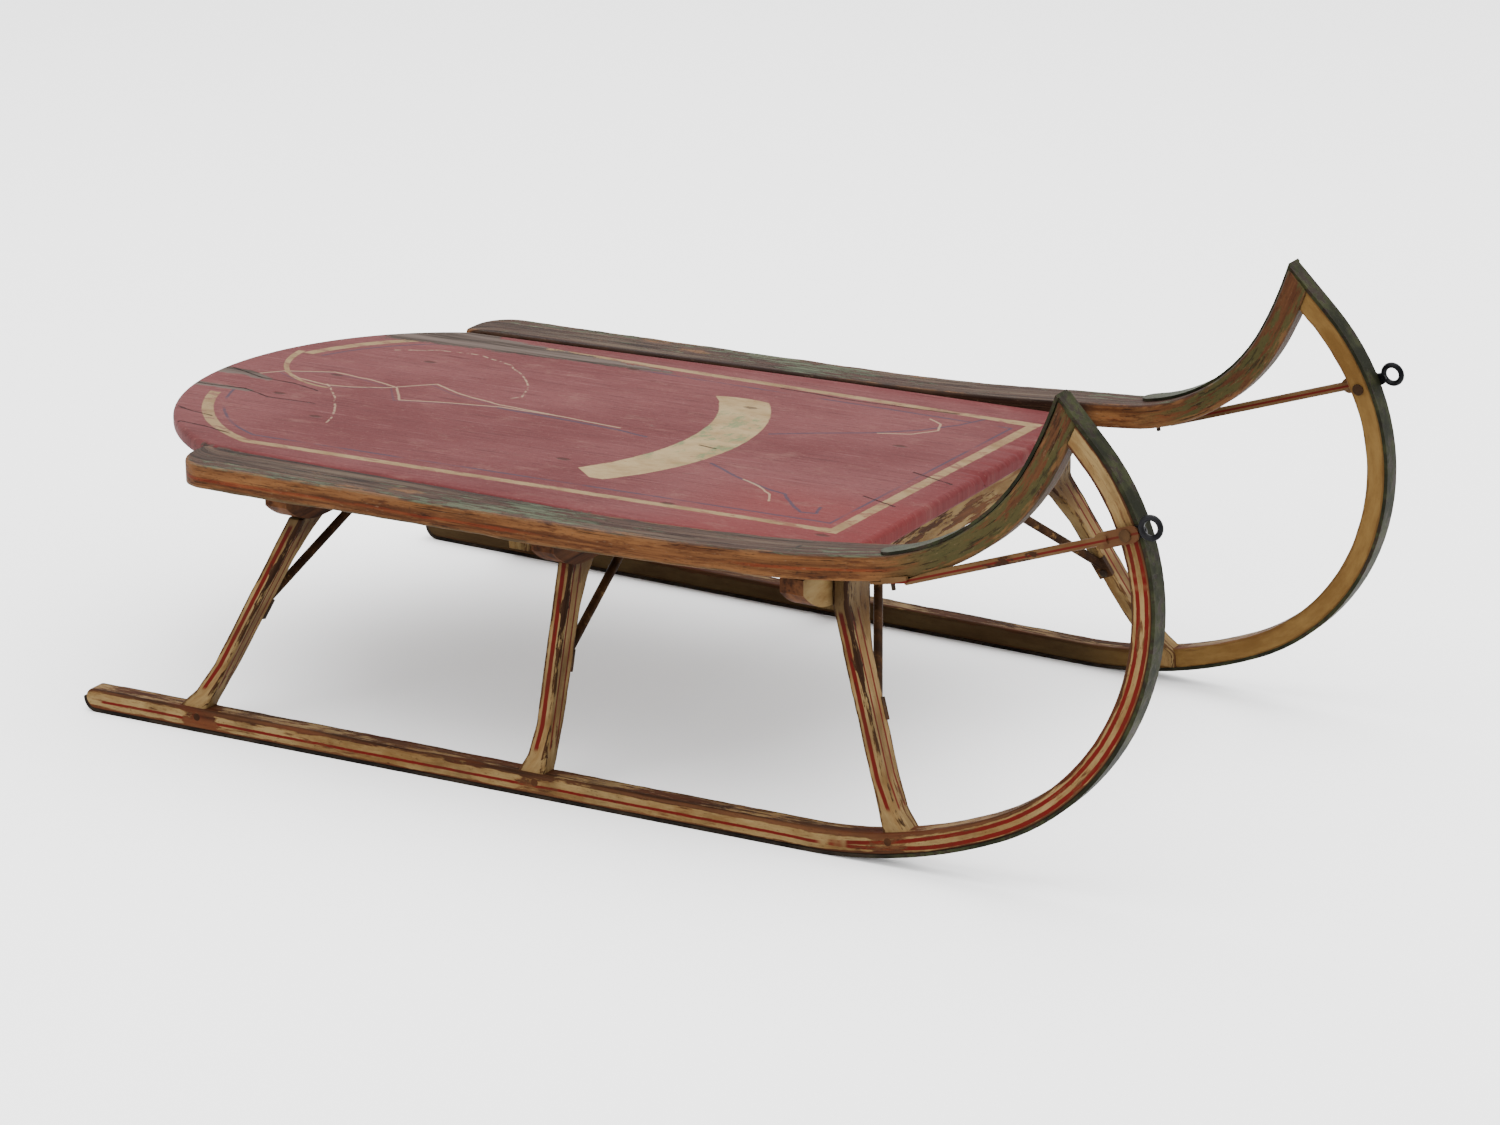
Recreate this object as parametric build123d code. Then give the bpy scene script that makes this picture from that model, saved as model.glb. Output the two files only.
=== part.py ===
"""Bow-runner sled: two bent runners, side rails, a wide board, three crossbeams, posts, irons.

Millimetres. +X is forward, +Y is the sled's left, +Z is up. The side view is drawn with X = 0 at the
runners' rear ends and Z = 0 on the ground, and the whole sled is moved to its origin at the end.
"""
from build123d import *
from math import atan2, cos, degrees, radians, sin, tan
import os

os.makedirs("parts", exist_ok=True)

# ---- driving dimensions -------------------------------------------------------------------------
# runners, seen from the side: flat on the ground, then three bends and a short straight tip
runner_flat = 634.0        # length on the ground, from the rear end to the first bend
runner_bends = ((380.0, 24.5), (186.0, 65.5), (173.0, 44.0))      # radius of the outer side, turn
runner_tip = 43.0          # straight length at the tip
runner_depth = 15.5        # wood, measured square to the curve
runner_width = 17.0
runner_rear_round = 9.0    # upsweep of the rear end
half_track = 240.0         # runner's middle to the sled's middle, at the rear end, on the ground
toe_in = 1.5               # degrees, runners run closer together forward
splay = 4.4                # degrees, runners lean inward going up

shoe_thickness = 2.7       # iron under the runner
strap_thickness = 2.2      # the same iron where it lies on the rail
strap_start = 690.0        # rear end of the iron on the rail

# rails, seen from the side: top edge
rail_rear = 79.0
rail_height = 210.8        # top of the rail at its rear end
rail_straight = 358.0
rail_pitch = 0.6           # degrees, rails and board rise slightly forward
rail_bends = ((2500.0, 5.7), (150.0, 55.7), (320.0, 9.6))
rail_depth = 19.0
rail_tip_width = 17.0
rail_outer = 228.0         # half width over the rails
rail_rear_width = 46.0
rail_width = 36.0
rail_taper_end = 440.0     # the inner edge runs straight forward of here
rail_tip_start = 640.0     # the rail starts to narrow towards its tip
rail_rear_corner = 28.0    # radii of the rail's outline
rail_outer_bend = 240.0
rail_inner_bend = 400.0
rail_taper_bend = 900.0
edge_chamfer = 4.0
edge_stop = 32.0           # the planing of the edge stops this far from a crossbeam's middle
past_tip = 40.0            # outlines run on past the tip, where the runner's curve cuts them

# board
deck_thickness = 14.0
deck_drop = 0.6            # board's top under the rails' top
deck_rear = -41.0
deck_shoulder = 84.0       # where the rounded rear end reaches full width
deck_front = 650.0
deck_gap = 1.2             # open joint between board and rail
deck_corner = 24.0
deck_edge = 5.0
deck_shoulder_round = 60.0

# crossbeams: middle of each beam, and its depth under the board
beam_places = {"rear": 170.5, "middle": 410.5, "front": 621.5}
beam_width = 19.5
beam_bottom = 167.3        # underside of the rear beam
beam_pitch = 0.45          # degrees, undersides rise slightly forward
beam_reach = 220.0         # half length
beam_end_depth = 7.0
beam_end_run = 46.0        # length of the cut-away end
cleat_place = 119.0
cleat_width = 22.0
cleat_depth = 9.5
cleat_reach = 209.0
cleat_end_depth = 4.0
cleat_end_run = 10.0

# posts: foot middle along the runner, and how far each foot flares
post_feet = {"rear": 104.0, "middle": 408.5, "front": 703.5}
post_flare = {"rear": -12.0, "middle": -10.0, "front": 11.0}
post_thickness = 12.5      # along the sled
post_foot_width = 17.5     # across the sled
post_width = 22.0
post_head_width = 37.0
post_inset = 2.5           # foot's outer side inside the runner's outer side
post_head_inset = 44.0     # outer side of the heads inside the half track
post_flare_height = 34.0
post_head_height = 36.0
post_round = 2.0
cheek_drop = 12.0          # foot laps this far down the runner's inner side
tenon_thickness = 7.0
tenon_width = 10.0
tenon_length = 9.0
head_tenon_length = 12.0
tenon_root = 1.0           # tenons start this far inside the post
mortise_rise = 3.0         # the mortise is cut from above the sloping wood
peg_radius = 3.2
peg_depth = 7.0            # peg's middle under the runner's upper side
peg_short = 0.3            # peg ends this far under the foot's inner side

# irons
stay_radius = 3.5
stay_foot = 0.52           # height of the stay's foot, as a share of the post
stay_head = 92.0           # half spacing of the stays' heads
lug_length = 17.0
lug_width = 12.0
lug_thickness = 2.4
lug_shift = 3.4            # lug's middle past the rod's end
lug_screw_place = 7.65     # lug's screw past the rod's end
small_screw = {"length": 11.0, "radius": 1.6, "head": 3.2}
brace_radius = 3.4
brace_rear = 700.0         # middle of the rear tab under the rail
brace_tab = 30.0
brace_tab_width = 12.0
brace_offset = 14.0        # rear tab's middle inside the rail's outer side
eye_height = 279.0
eye_radius = 9.4
eye_wire = 4.4
eye_reach = 10.5           # middle of the eye forward of the shoe
eye_gap = 1.6              # eye's ring clear of the runner's outer side
shank_thickness = 2.2
shank_width = 9.0
rivet_drop = 8.0           # rivet under the eye's middle
tab_reach = 13.0           # brace rod ends this far behind the rivet
tab_pitch = 0.36           # rise of the brace's front tab
brace_clear = 0.02         # brace clear of the runner's outer side
rivet_radius = 2.6
rivet_head = 4.4
rivet_head_height = 1.6
screw_radius = 1.8
screw_head = 4.5
screw_head_height = 1.2
screw_length = 22.0
head_depth = 0.1           # the board's and rails' screw heads lie this far under the surface
nail_radius = 1.4
nail_head = 3.0
nail_head_height = 0.8
nail_length = 7.0
nail_first = 40.0          # first nail from the runner's rear end
nail_last = 20.0           # last nail behind the front bend
shoe_nails = 9
deck_screw_row = 162.0     # half spacing of the board's screws
rail_screw_forward = {"rear": 0.0, "middle": 0.0, "front": 3.0}

big = 3000.0
side = Plane.XZ            # drawing plane: X forward, Z up, normal to the sled's right


# ---- drawing helpers ----------------------------------------------------------------------------
def bend_points(start, heading, moves):
    """Corner points and headings of a run of lines (length,) and left-hand bends (radius, turn)."""
    point, angle, stops = Vector(*start), heading, []
    for move in moves:
        stops.append((point, angle))
        if len(move) == 1:
            point = point + Vector(move[0] * cos(radians(angle)), move[0] * sin(radians(angle)))
        else:
            radius, turn = move
            centre = point + Vector(-sin(radians(angle)), cos(radians(angle))) * radius
            angle += turn
            point = centre - Vector(-sin(radians(angle)), cos(radians(angle))) * radius
    stops.append((point, angle))
    return stops


def run(start, heading, moves, left=0.0):
    """Edges of the same run, moved over to its left-hand side, and its two end points."""
    edges = []
    for (point, angle), move in zip(bend_points(start, heading, moves), moves):
        normal = Vector(-sin(radians(angle)), cos(radians(angle)))
        tangent = Vector(cos(radians(angle)), sin(radians(angle)))
        begin = point + normal * left
        if len(move) == 1:
            edges.append(Line(begin, begin + tangent * move[0]))
        else:
            edges.append(JernArc(begin, tangent, move[0] - left, move[1]))
    return edges, edges[0] @ 0, edges[-1] @ 1


def band(start, heading, moves, left_a, left_b):
    """Face between two parallel copies of a run."""
    edges_a, first_a, last_a = run(start, heading, moves, left_a)
    edges_b, first_b, last_b = run(start, heading, moves, left_b)
    ends = [Line(last_a, last_b), Line(first_b, first_a)]
    return make_face(Curve() + edges_a + edges_b + ends)


def right_of_side(face, inner=0.0, outer=400.0):
    """Prism of a side-view face over the right half of the sled."""
    return Pos(0, -inner, 0) * extrude(side * face, outer - inner)


def mirrored(shape):
    return mirror(shape, about=Plane.XZ)


def rod(start, end, radius):
    start, end = Vector(*start), Vector(*end)
    return Plane(origin=start, z_dir=end - start) * Cylinder(
        radius, (end - start).length, align=(Align.CENTER, Align.CENTER, Align.MIN))


# ---- reference curves ---------------------------------------------------------------------------
runner_start = (0.0, shoe_thickness)
runner_moves = ((runner_flat,),) + runner_bends + ((runner_tip,),)
tip_point = bend_points(runner_start, 0.0, runner_moves)[-1][0]

rail_moves = ((rail_straight,),) + rail_bends
rail_stops = bend_points((rail_rear, rail_height), rail_pitch, rail_moves)
# the rail's last bend is drawn to end on the runner's tip
rail_shift = tip_point - rail_stops[-1][0]
rail_start = (rail_rear + rail_shift.X, rail_height + rail_shift.Y)
rail_stops = bend_points(rail_start, rail_pitch, rail_moves)
rail_moves_long = rail_moves + ((30.0,),)

lean = Plane(
    origin=(0, -half_track, 0),
    x_dir=(1, tan(radians(toe_in)), 0),
    z_dir=Vector(1, tan(radians(toe_in)), 0).cross(Vector(0, tan(radians(splay)), 1)) * -1,
)                          # middle plane of the right runner, normal towards the sled's middle


def runner_middle(x, z):
    """Y of the right runner's middle plane."""
    return -half_track + x * tan(radians(toe_in)) + z * tan(radians(splay))


def deck_top(x):
    return rail_stops[0][0].Y - deck_drop + (x - rail_stops[0][0].X) * tan(radians(rail_pitch))


def beam_under(x):
    return beam_bottom + (x - beam_places["rear"]) * tan(radians(beam_pitch))


# ---- runners and shoes --------------------------------------------------------------------------
def slab(width, offset=0.0):
    """Leaning slab that gives the runner its two sides."""
    return extrude(lean.offset(offset) * Rectangle(big, big), width / 2, both=True)


rail_band = band(rail_start, rail_pitch, rail_moves_long, 0.0, -rail_depth)
runner_band = band(runner_start, 0.0, runner_moves + ((12.0,),), 0.0, runner_depth)


def inside_run(start, heading, moves, left, away):
    """Big face on the upper left side of a run; away is the corner that closes it."""
    edges, first, last = run(start, heading, moves, left)
    corners = Polyline(last, (last.X - 400, last.Y + 400), away, (first.X - 300, first.Y), first)
    return make_face(Curve() + edges + [corners])


inside_runner = inside_run(runner_start, 0.0, runner_moves + ((60.0,),), 0.0, (-700, 900))
inside_shoe = inside_run(runner_start, 0.0, runner_moves + ((60.0,),), -shoe_thickness, (-700, 900))


def below_run(start, heading, moves, left):
    """Big face on the right-hand side (underneath) of a run."""
    edges, first, last = run(start, heading, moves, left)
    corners = Polyline(last, (last.X + 700, last.Y + 100), (last.X + 700, -300),
                       (first.X - 300, -300), (first.X - 300, first.Y), first)
    return make_face(Curve() + edges + [corners])


below_rail_top = below_run(rail_start, rail_pitch, rail_moves_long, 0.0)
below_rail = below_run(rail_start, rail_pitch, rail_moves_long, -rail_depth)
below_strap = below_run(rail_start, rail_pitch, rail_moves_long, strap_thickness)

# rounded rear end of the runner: the underside sweeps up to meet the top
rear_round = make_face(Curve() + [
    Line((-20, -20), (runner_rear_round, -20)),
    Line((runner_rear_round, -20), (runner_rear_round, shoe_thickness)),
    JernArc((runner_rear_round, shoe_thickness), (-1, 0), runner_rear_round, -90),
    Line((0, shoe_thickness + runner_rear_round), (-20, shoe_thickness + runner_rear_round)),
    Line((-20, shoe_thickness + runner_rear_round), (-20, -20)),
])
shoe_rear_round = make_face(Curve() + [
    Line((-20, -20), (runner_rear_round, -20)),
    Line((runner_rear_round, -20), (runner_rear_round, 0)),
    JernArc((runner_rear_round, 0), (-1, 0), runner_rear_round + shoe_thickness, -90),
    Line((-shoe_thickness, shoe_thickness + runner_rear_round),
         (-20, shoe_thickness + runner_rear_round)),
    Line((-20, shoe_thickness + runner_rear_round), (-20, -20)),
])


runner_raw = right_of_side(runner_band) & right_of_side(inside_runner) & right_of_side(below_rail)
runner_raw = (runner_raw - right_of_side(rear_round)) & slab(runner_width)


# ---- rails --------------------------------------------------------------------------------------
tip_middle = runner_middle(tip_point.X, tip_point.Y)
rail_middle = rail_width / 2 - rail_outer
rail_inner = rail_width - rail_outer
rail_inner_rear = rail_rear_width - rail_outer


def towards_tip(offset):
    """Plan point past the tip of a line that keeps its distance from the rail's middle."""
    slope = (tip_middle - rail_middle) / (tip_point.X - rail_tip_start)
    return (tip_point.X + past_tip, tip_middle + slope * past_tip + offset)


outer_edge = FilletPolyline(
    (rail_start[0], rail_inner_rear), (rail_start[0], -rail_outer),
    (rail_tip_start, -rail_outer), towards_tip(-rail_tip_width / 2),
    radius=[rail_rear_corner, rail_outer_bend])
inner_edge = FilletPolyline(
    towards_tip(rail_tip_width / 2), (rail_tip_start, rail_inner),
    (rail_taper_end, rail_inner), (rail_start[0], rail_inner_rear),
    radius=[rail_inner_bend, rail_taper_bend])
rail_plan = make_face(Curve() + [outer_edge, Line(outer_edge @ 1, inner_edge @ 0), inner_edge])
rail = right_of_side(rail_band) & right_of_side(inside_runner) & extrude(rail_plan, 700)


def edge_wedge(x_from, x_to):
    """What is planed off the rail's lower outer edge between two stops."""
    z = rail_start[1] - rail_depth + ((x_from + x_to) / 2 - rail_start[0]) * tan(radians(rail_pitch))
    corners = ((-rail_outer - 9, z - 9), (edge_chamfer - rail_outer, z - 9),
               (edge_chamfer - rail_outer, z), (-rail_outer, z + 1.5 * edge_chamfer),
               (-rail_outer - 9, z + 1.5 * edge_chamfer))
    return extrude(Plane.YZ.offset(x_from) * make_face(Polyline(*corners, close=True)), x_to - x_from)


places = list(beam_places.values())
for x_from, x_to in zip(places[:-1], places[1:]):
    rail = rail - edge_wedge(x_from + edge_stop, x_to - edge_stop)


# ---- shoes --------------------------------------------------------------------------------------
iron = right_of_side(inside_shoe) & right_of_side(below_strap)
iron = iron - right_of_side(shoe_rear_round)
wood = right_of_side(inside_runner) & right_of_side(below_rail_top)
wood = wood - right_of_side(rear_round)
wood = wood - right_of_side(make_face(Polyline((-900, -50), (0, -50), (0, 900), (-900, 900), close=True)))
wrap_top = shoe_thickness + runner_rear_round
kept_iron = right_of_side(make_face(Polyline(
    (-shoe_thickness, -5), (1200, -5), (1200, 600), (strap_start, 600), (strap_start, 120),
    (runner_rear_round, 120), (runner_rear_round, wrap_top), (-shoe_thickness, wrap_top), close=True)))
sheet = (iron - wood) & kept_iron
strap_from = Vector(strap_start + rail_tip_width / 2, rail_middle)
strap_run = Vector(*towards_tip(0)) - strap_from
strap_plan = Pos(strap_from.X, strap_from.Y) * Rot(0, 0, degrees(atan2(strap_run.Y, strap_run.X))) * (
    Pos(strap_run.length / 2, 0) * Rectangle(strap_run.length, rail_tip_width)
    + Circle(rail_tip_width / 2))
shoe = (sheet & right_of_side(below_rail_top)) & slab(runner_width)
shoe = shoe + ((sheet - right_of_side(below_rail_top)) & extrude(strap_plan, 700))


# ---- board --------------------------------------------------------------------------------------
half_shoulder = -rail_inner_rear - deck_gap
half_deck = -rail_inner - deck_gap
deck_side = [(deck_shoulder, half_shoulder), (rail_taper_end, half_deck), (deck_front, half_deck)]
front_corner = FilletPolyline(
    *deck_side, (deck_front, -half_deck), (rail_taper_end, -half_deck),
    (deck_shoulder, -half_shoulder),
    radius=[rail_taper_bend, deck_corner, deck_corner, rail_taper_bend])
rear_arc = ThreePointArc(front_corner @ 1, (deck_rear, 0), front_corner @ 0)
deck_plan = make_face(Curve() + [front_corner, rear_arc])
shoulders = [v for v in deck_plan.vertices() if abs(v.X - deck_shoulder) < 0.1]
deck_plan = fillet(shoulders, deck_shoulder_round)
deck = extrude(deck_plan, -deck_thickness)
deck = fillet(deck.faces().sort_by(Axis.Z)[-1].edges() + deck.faces().sort_by(Axis.Z)[0].edges(), deck_edge)
deck = Pos(0, 0, deck_top(0)) * Rot(0, -rail_pitch, 0) * deck

# ---- crossbeams and rear cleat ------------------------------------------------------------------
above_board = Pos(0, 0, deck_top(0)) * Rot(0, -rail_pitch, 0) * Pos(0, 0, -deck_thickness) * Box(
    big, big, big, align=(Align.CENTER, Align.CENTER, Align.MIN))


def beam(place, width, bottom, reach, end_depth, end_run):
    """Cross piece under board and rails, cut away on a curve at both ends."""
    top = deck_top(place)
    end_top = rail_stops[0][0].Y - rail_depth + (place - rail_start[0]) * tan(radians(rail_pitch))
    end_bottom = end_top - end_depth
    half = Curve() + [
        Line((0, top), (reach, top)),
        Line((reach, top), (reach, end_bottom)),
        TangentArc((reach - end_run, bottom), (reach, end_bottom), tangent=(1, 0)),
        Line((reach - end_run, bottom), (0, bottom)),
        Line((0, bottom), (0, top)),
    ]
    half_face = make_face(half)
    face = half_face + mirror(half_face, about=Plane.YZ)
    body = extrude(Plane.YZ.offset(place - width / 2) * face, width)
    return body - above_board - rail - mirrored(rail)


beams = {name: beam(x, beam_width, beam_under(x), beam_reach, beam_end_depth, beam_end_run)
         for name, x in beam_places.items()}
cleat_bottom = deck_top(cleat_place) - deck_thickness - cleat_depth
cleat = beam(cleat_place, cleat_width, cleat_bottom, cleat_reach, cleat_end_depth, cleat_end_run)


# ---- posts --------------------------------------------------------------------------------------
def runner_top(x):
    """Height of the runner's upper side under a post."""
    flat_end, radius = runner_flat, runner_bends[0][0]
    if x <= flat_end:
        return shoe_thickness + runner_depth
    inner = radius - runner_depth
    return shoe_thickness + radius - (inner ** 2 - (x - flat_end) ** 2) ** 0.5


def post_line(name):
    """Foot and head of a post: middle along the sled, outer side across it, height."""
    foot_x, place = post_feet[name], beam_places[name]
    foot_z = runner_top(foot_x)
    forward = 1 if name == "front" else -1
    aside = (beam_width + forward * post_thickness) / 2
    head_x = place + forward * aside
    foot_y = runner_middle(foot_x, foot_z) - runner_width / 2 + post_inset
    head_y = post_head_inset - half_track + head_x * tan(radians(toe_in))
    return (foot_x, foot_y, foot_z), (head_x, head_y, beam_under(place))


def post_at(name, z):
    """Middle along the sled, outer side, at a height."""
    foot, head = post_line(name)
    if z < foot[2]:
        return foot[0], runner_middle(foot[0], z) - runner_width / 2 + post_inset
    share = (z - foot[2]) / (head[2] - foot[2])
    return foot[0] + share * (head[0] - foot[0]), foot[1] + share * (head[1] - foot[1])


def post_sections(name):
    """Heights, widths and flare of the sections that a post is drawn through."""
    foot, head = post_line(name)
    flare = post_flare[name]
    low, high = foot[2], head[2]
    return ((low - cheek_drop, post_foot_width, flare), (low, post_foot_width, flare),
            (low + 0.35 * post_flare_height, post_foot_width + 1.5, 0.35 * flare),
            (low + post_flare_height, post_width, 0.0), (high - post_head_height, post_width + 1, 0.0),
            (high - 0.4 * post_head_height, 0.55 * post_width + 0.45 * post_head_width, 0.0),
            (high, post_head_width, 0.0))


def section(x, outer_y, z, width, flare):
    """Rounded rectangle across a post; a flare adds to its rear or front side."""
    outline = RectangleRounded(post_thickness + abs(flare), width, post_round)
    return Pos(x + flare / 2, outer_y + width / 2, z) * outline


def post(name):
    sections = []
    for z, width, flare in post_sections(name):
        x, outer_y = post_at(name, z)
        sections.append(section(x, outer_y, z, width, flare))
    body = loft(sections, ruled=True)
    foot, head = post_line(name)
    if name == "front":
        top = section(head[0], head[1], head[2], post_head_width, 0.0)
        body = body + extrude(top, deck_top(head[0]) - deck_thickness - head[2] + 5)
        body = body - deck - rail - beams[name]
    body = body - runner_raw - shoe
    tenon = Pos(foot[0], runner_middle(foot[0], foot[2]), foot[2] + tenon_root) * Box(
        tenon_width, tenon_thickness, tenon_length + tenon_root,
        align=(Align.CENTER, Align.CENTER, Align.MAX))
    body = body + tenon
    if name != "front":
        body = body + head_tenon(name, tenon_root)
    return body


def head_tenon(name, root=0.0):
    """Tenon at a post's head; root is how far it starts inside the post."""
    head = post_line(name)[1]
    return Pos(head[0], head[1] + post_head_width / 2, head[2] - root) * Box(
        tenon_thickness, 2 * tenon_width, head_tenon_length + root,
        align=(Align.CENTER, Align.CENTER, Align.MIN))


posts = {name: post(name) for name in beam_places}


# ---- irons --------------------------------------------------------------------------------------
def stay(name):
    """Rod from the inner side of a post up to the underside of its crossbeam, with a lug at each end."""
    foot, head = post_line(name)
    z = foot[2] + stay_foot * (head[2] - foot[2])
    x, outer_y = post_at(name, z)
    low = Vector(x, outer_y + post_width, z)
    high = Vector(beam_places[name], -stay_head, beam_under(beam_places[name]))
    run_line = high - low
    body = rod(low - run_line.normalized() * 2, high + run_line.normalized() * 2, stay_radius)
    foot_dir = Vector(*head) - Vector(*foot)
    inward = Vector(0, 1, 0) - foot_dir.normalized() * foot_dir.normalized().Y
    foot_plane = Plane(origin=low - foot_dir.normalized() * lug_shift, x_dir=foot_dir, z_dir=inward)
    foot_lug = foot_plane * Box(lug_length, lug_width, 2 * lug_thickness)
    head_lug = Pos(high.X, high.Y + lug_shift, high.Z) * Box(
        lug_width, lug_length, 2 * lug_thickness)
    return body + foot_lug + head_lug


def stay_screw_lines(name):
    """Start points (on the lug's outer side) and directions of a stay's two screws."""
    foot, head = post_line(name)
    z = foot[2] + stay_foot * (head[2] - foot[2])
    x, outer_y = post_at(name, z)
    low = Vector(x, outer_y + post_width, z)
    foot_dir = (Vector(*head) - Vector(*foot)).normalized()
    inward = (Vector(0, 1, 0) - foot_dir * foot_dir.Y).normalized()
    high = Vector(beam_places[name], -stay_head, beam_under(beam_places[name]))
    return ((low - foot_dir * lug_screw_place + inward * lug_thickness, inward * -1),
            (high + Vector(0, lug_screw_place, -lug_thickness), Vector(0, 0, 1)))


def screw(start, direction, length, radius=screw_radius, head=screw_head, head_height=screw_head_height):
    """Screw driven along direction; its head stands on the surface at start."""
    frame = Plane(origin=start, z_dir=direction)
    shank = frame * Cylinder(radius, length, align=(Align.CENTER, Align.CENTER, Align.MIN))
    cap = frame * Cylinder(head, head_height, align=(Align.CENTER, Align.CENTER, Align.MAX))
    return cap + shank


stays, stay_screws = {}, []
for name in beam_places:
    raw = stay(name) - posts[name] - beams[name]
    pair = [screw(start, direction, **small_screw) for start, direction in stay_screw_lines(name)]
    for one in pair:
        raw = raw - one
        posts[name] = posts[name] - one
        beams[name] = beams[name] - one - mirrored(one)
    stays[name] = raw
    stay_screws += pair

# eye and brace, drawn on the outer side of the right runner
def on_outer(x, z, out=0.0):
    """Point on the runner's outer side, or out from it."""
    return Vector(x, runner_middle(x, z), z) - lean.z_dir * (runner_width / 2 + out)


def runner_front(z):
    """X of the shoe's front side at a height on the upper bend."""
    stops = bend_points(runner_start, 0.0, runner_moves)
    start, radius = stops[3][0], runner_bends[2][0]
    middle_x = start.X - radius
    return middle_x + ((radius + shoe_thickness) ** 2 - (z - start.Y) ** 2) ** 0.5


eye_x = runner_front(eye_height) + eye_reach
rivet_x = runner_front(eye_height - rivet_drop) - shoe_thickness - runner_depth / 2 - 1
rivet_z = eye_height - rivet_drop
eye_out = eye_wire / 2 + eye_gap
eye_centre = on_outer(eye_x, eye_height, eye_out)
eye_ring = Plane(origin=eye_centre, x_dir=(1, 0, 0), z_dir=lean.z_dir) * Torus(
    eye_radius - eye_wire / 2, eye_wire / 2)


def strip(x0, z0, x1, z1, width, out_from, out_to):
    """Flat strip on the runner's outer side, from one point to another, with round ends."""
    a, b = on_outer(x0, z0, out_from), on_outer(x1, z1, out_from)
    plane = Plane(origin=(a + b) / 2, x_dir=b - a, z_dir=lean.z_dir * -1)
    return extrude(plane * SlotOverall((b - a).length + width, width), out_to - out_from)


eye_shank = strip(rivet_x - 2, rivet_z - 0.5, eye_x - eye_radius + 1.0, eye_height - 4, shank_width,
                  0.0, shank_thickness)
tow_eye = eye_ring + eye_shank

# brace: rear tab under the rail, straight rod, front tab over the eye's shank
tab_middle = Vector(brace_rear, brace_offset - rail_outer, 0)
bend_centre = rail_stops[2][0] + Vector(
    -sin(radians(rail_stops[2][1])), cos(radians(rail_stops[2][1]))) * rail_bends[1][0]


def rail_under(x):
    """Height of the rail's underside on its tight front bend."""
    return bend_centre.Y - ((rail_bends[1][0] + rail_depth) ** 2 - (x - bend_centre.X) ** 2) ** 0.5


tab_front_x = brace_rear + brace_tab / 2
rear_a = Vector(brace_rear - brace_tab / 2, tab_middle.Y, rail_under(brace_rear - brace_tab / 2))
rear_b = Vector(tab_front_x, tab_middle.Y, rail_under(tab_front_x))
rear_plane = Plane(origin=(rear_a + rear_b) / 2, x_dir=rear_b - rear_a,
                   z_dir=Vector(0, 1, 0).cross(rear_a - rear_b))
rear_tab = rear_plane * Box(brace_tab, brace_tab_width, 2 * lug_thickness)
front_tab_x = rivet_x - tab_reach
rod_front = on_outer(front_tab_x, rivet_z - tab_reach * tab_pitch, shank_thickness + lug_thickness / 2)
rod_rear = rear_b - Vector(4, 0, lug_thickness / 2 + 1.5)
front_tab = strip(front_tab_x - 4, rivet_z - (tab_reach + 4) * tab_pitch, rivet_x + 4, rivet_z + 1.2,
                  brace_tab_width, shank_thickness, shank_thickness + lug_thickness)
brace = rod(rod_rear, rod_front, brace_radius) + rear_tab + front_tab
brace = brace - rail - slab(runner_width + 2 * brace_clear) - tow_eye
rivet_axis = lean.z_dir
rivet_out = on_outer(rivet_x, rivet_z, shank_thickness + lug_thickness + rivet_head_height)
rivet_length = runner_width + shank_thickness + lug_thickness
rivet = rod(rivet_out, rivet_out + rivet_axis * (rivet_length + 2 * rivet_head_height), rivet_radius)
rivet = rivet + rod(rivet_out, rivet_out + rivet_axis * rivet_head_height, rivet_head)
rivet_in = rivet_out + rivet_axis * (rivet_length + rivet_head_height)
rivet = rivet + rod(rivet_in, rivet_in + rivet_axis * rivet_head_height, rivet_head)
brace = brace - rivet
tow_eye = tow_eye - rivet
rear_screw = screw(rear_plane.origin + rear_plane.z_dir * lug_thickness, rear_plane.z_dir * -1,
                   **small_screw)
brace = brace - rear_screw
rail = rail - rear_screw

# pegs through the feet, nails through the shoes
pegs = []
for name in post_feet:
    foot = post_line(name)[0]
    peg_z = foot[2] - peg_depth
    middle = Vector(foot[0], runner_middle(foot[0], peg_z), peg_z)
    pegs.append(rod(middle - lean.z_dir * runner_width / 2, middle + lean.z_dir * (
        post_foot_width + post_inset - runner_width / 2 - peg_short), peg_radius))
runner = runner_raw - rivet
for name, peg in zip(post_feet, pegs):
    foot = post_line(name)[0]
    posts[name] = posts[name] - peg
    runner = runner - peg - Pos(foot[0], runner_middle(foot[0], foot[2]), foot[2] + mortise_rise) * Box(
        tenon_width, tenon_thickness, tenon_length + mortise_rise,
        align=(Align.CENTER, Align.CENTER, Align.MAX))
nails = []
for number in range(shoe_nails):
    x = nail_first + number * (runner_flat - nail_first - nail_last) / (shoe_nails - 1)
    nails.append(screw(Vector(x, runner_middle(x, 0), nail_head_height), Vector(0, 0, 1), nail_length,
                       nail_radius, nail_head, nail_head_height))
for nail in nails:
    shoe = shoe - nail
    runner = runner - nail

# head tenons leave their mortises in the crossbeams
for name in ("rear", "middle"):
    beams[name] = beams[name] - head_tenon(name) - mirrored(head_tenon(name))

# screws of the board and rails, with their heads sunk into the wood
head_sink = screw_head_height + head_depth


def rail_top(x):
    """Height of the rail's upper side behind its tight bend."""
    start, heading = rail_stops[1]
    if x <= start.X:
        return rail_start[1] + (x - rail_start[0]) * tan(radians(rail_pitch))
    radius = rail_bends[0][0]
    centre = start + Vector(-sin(radians(heading)), cos(radians(heading))) * radius
    return centre.Y - (radius ** 2 - (x - centre.X) ** 2) ** 0.5


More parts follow.
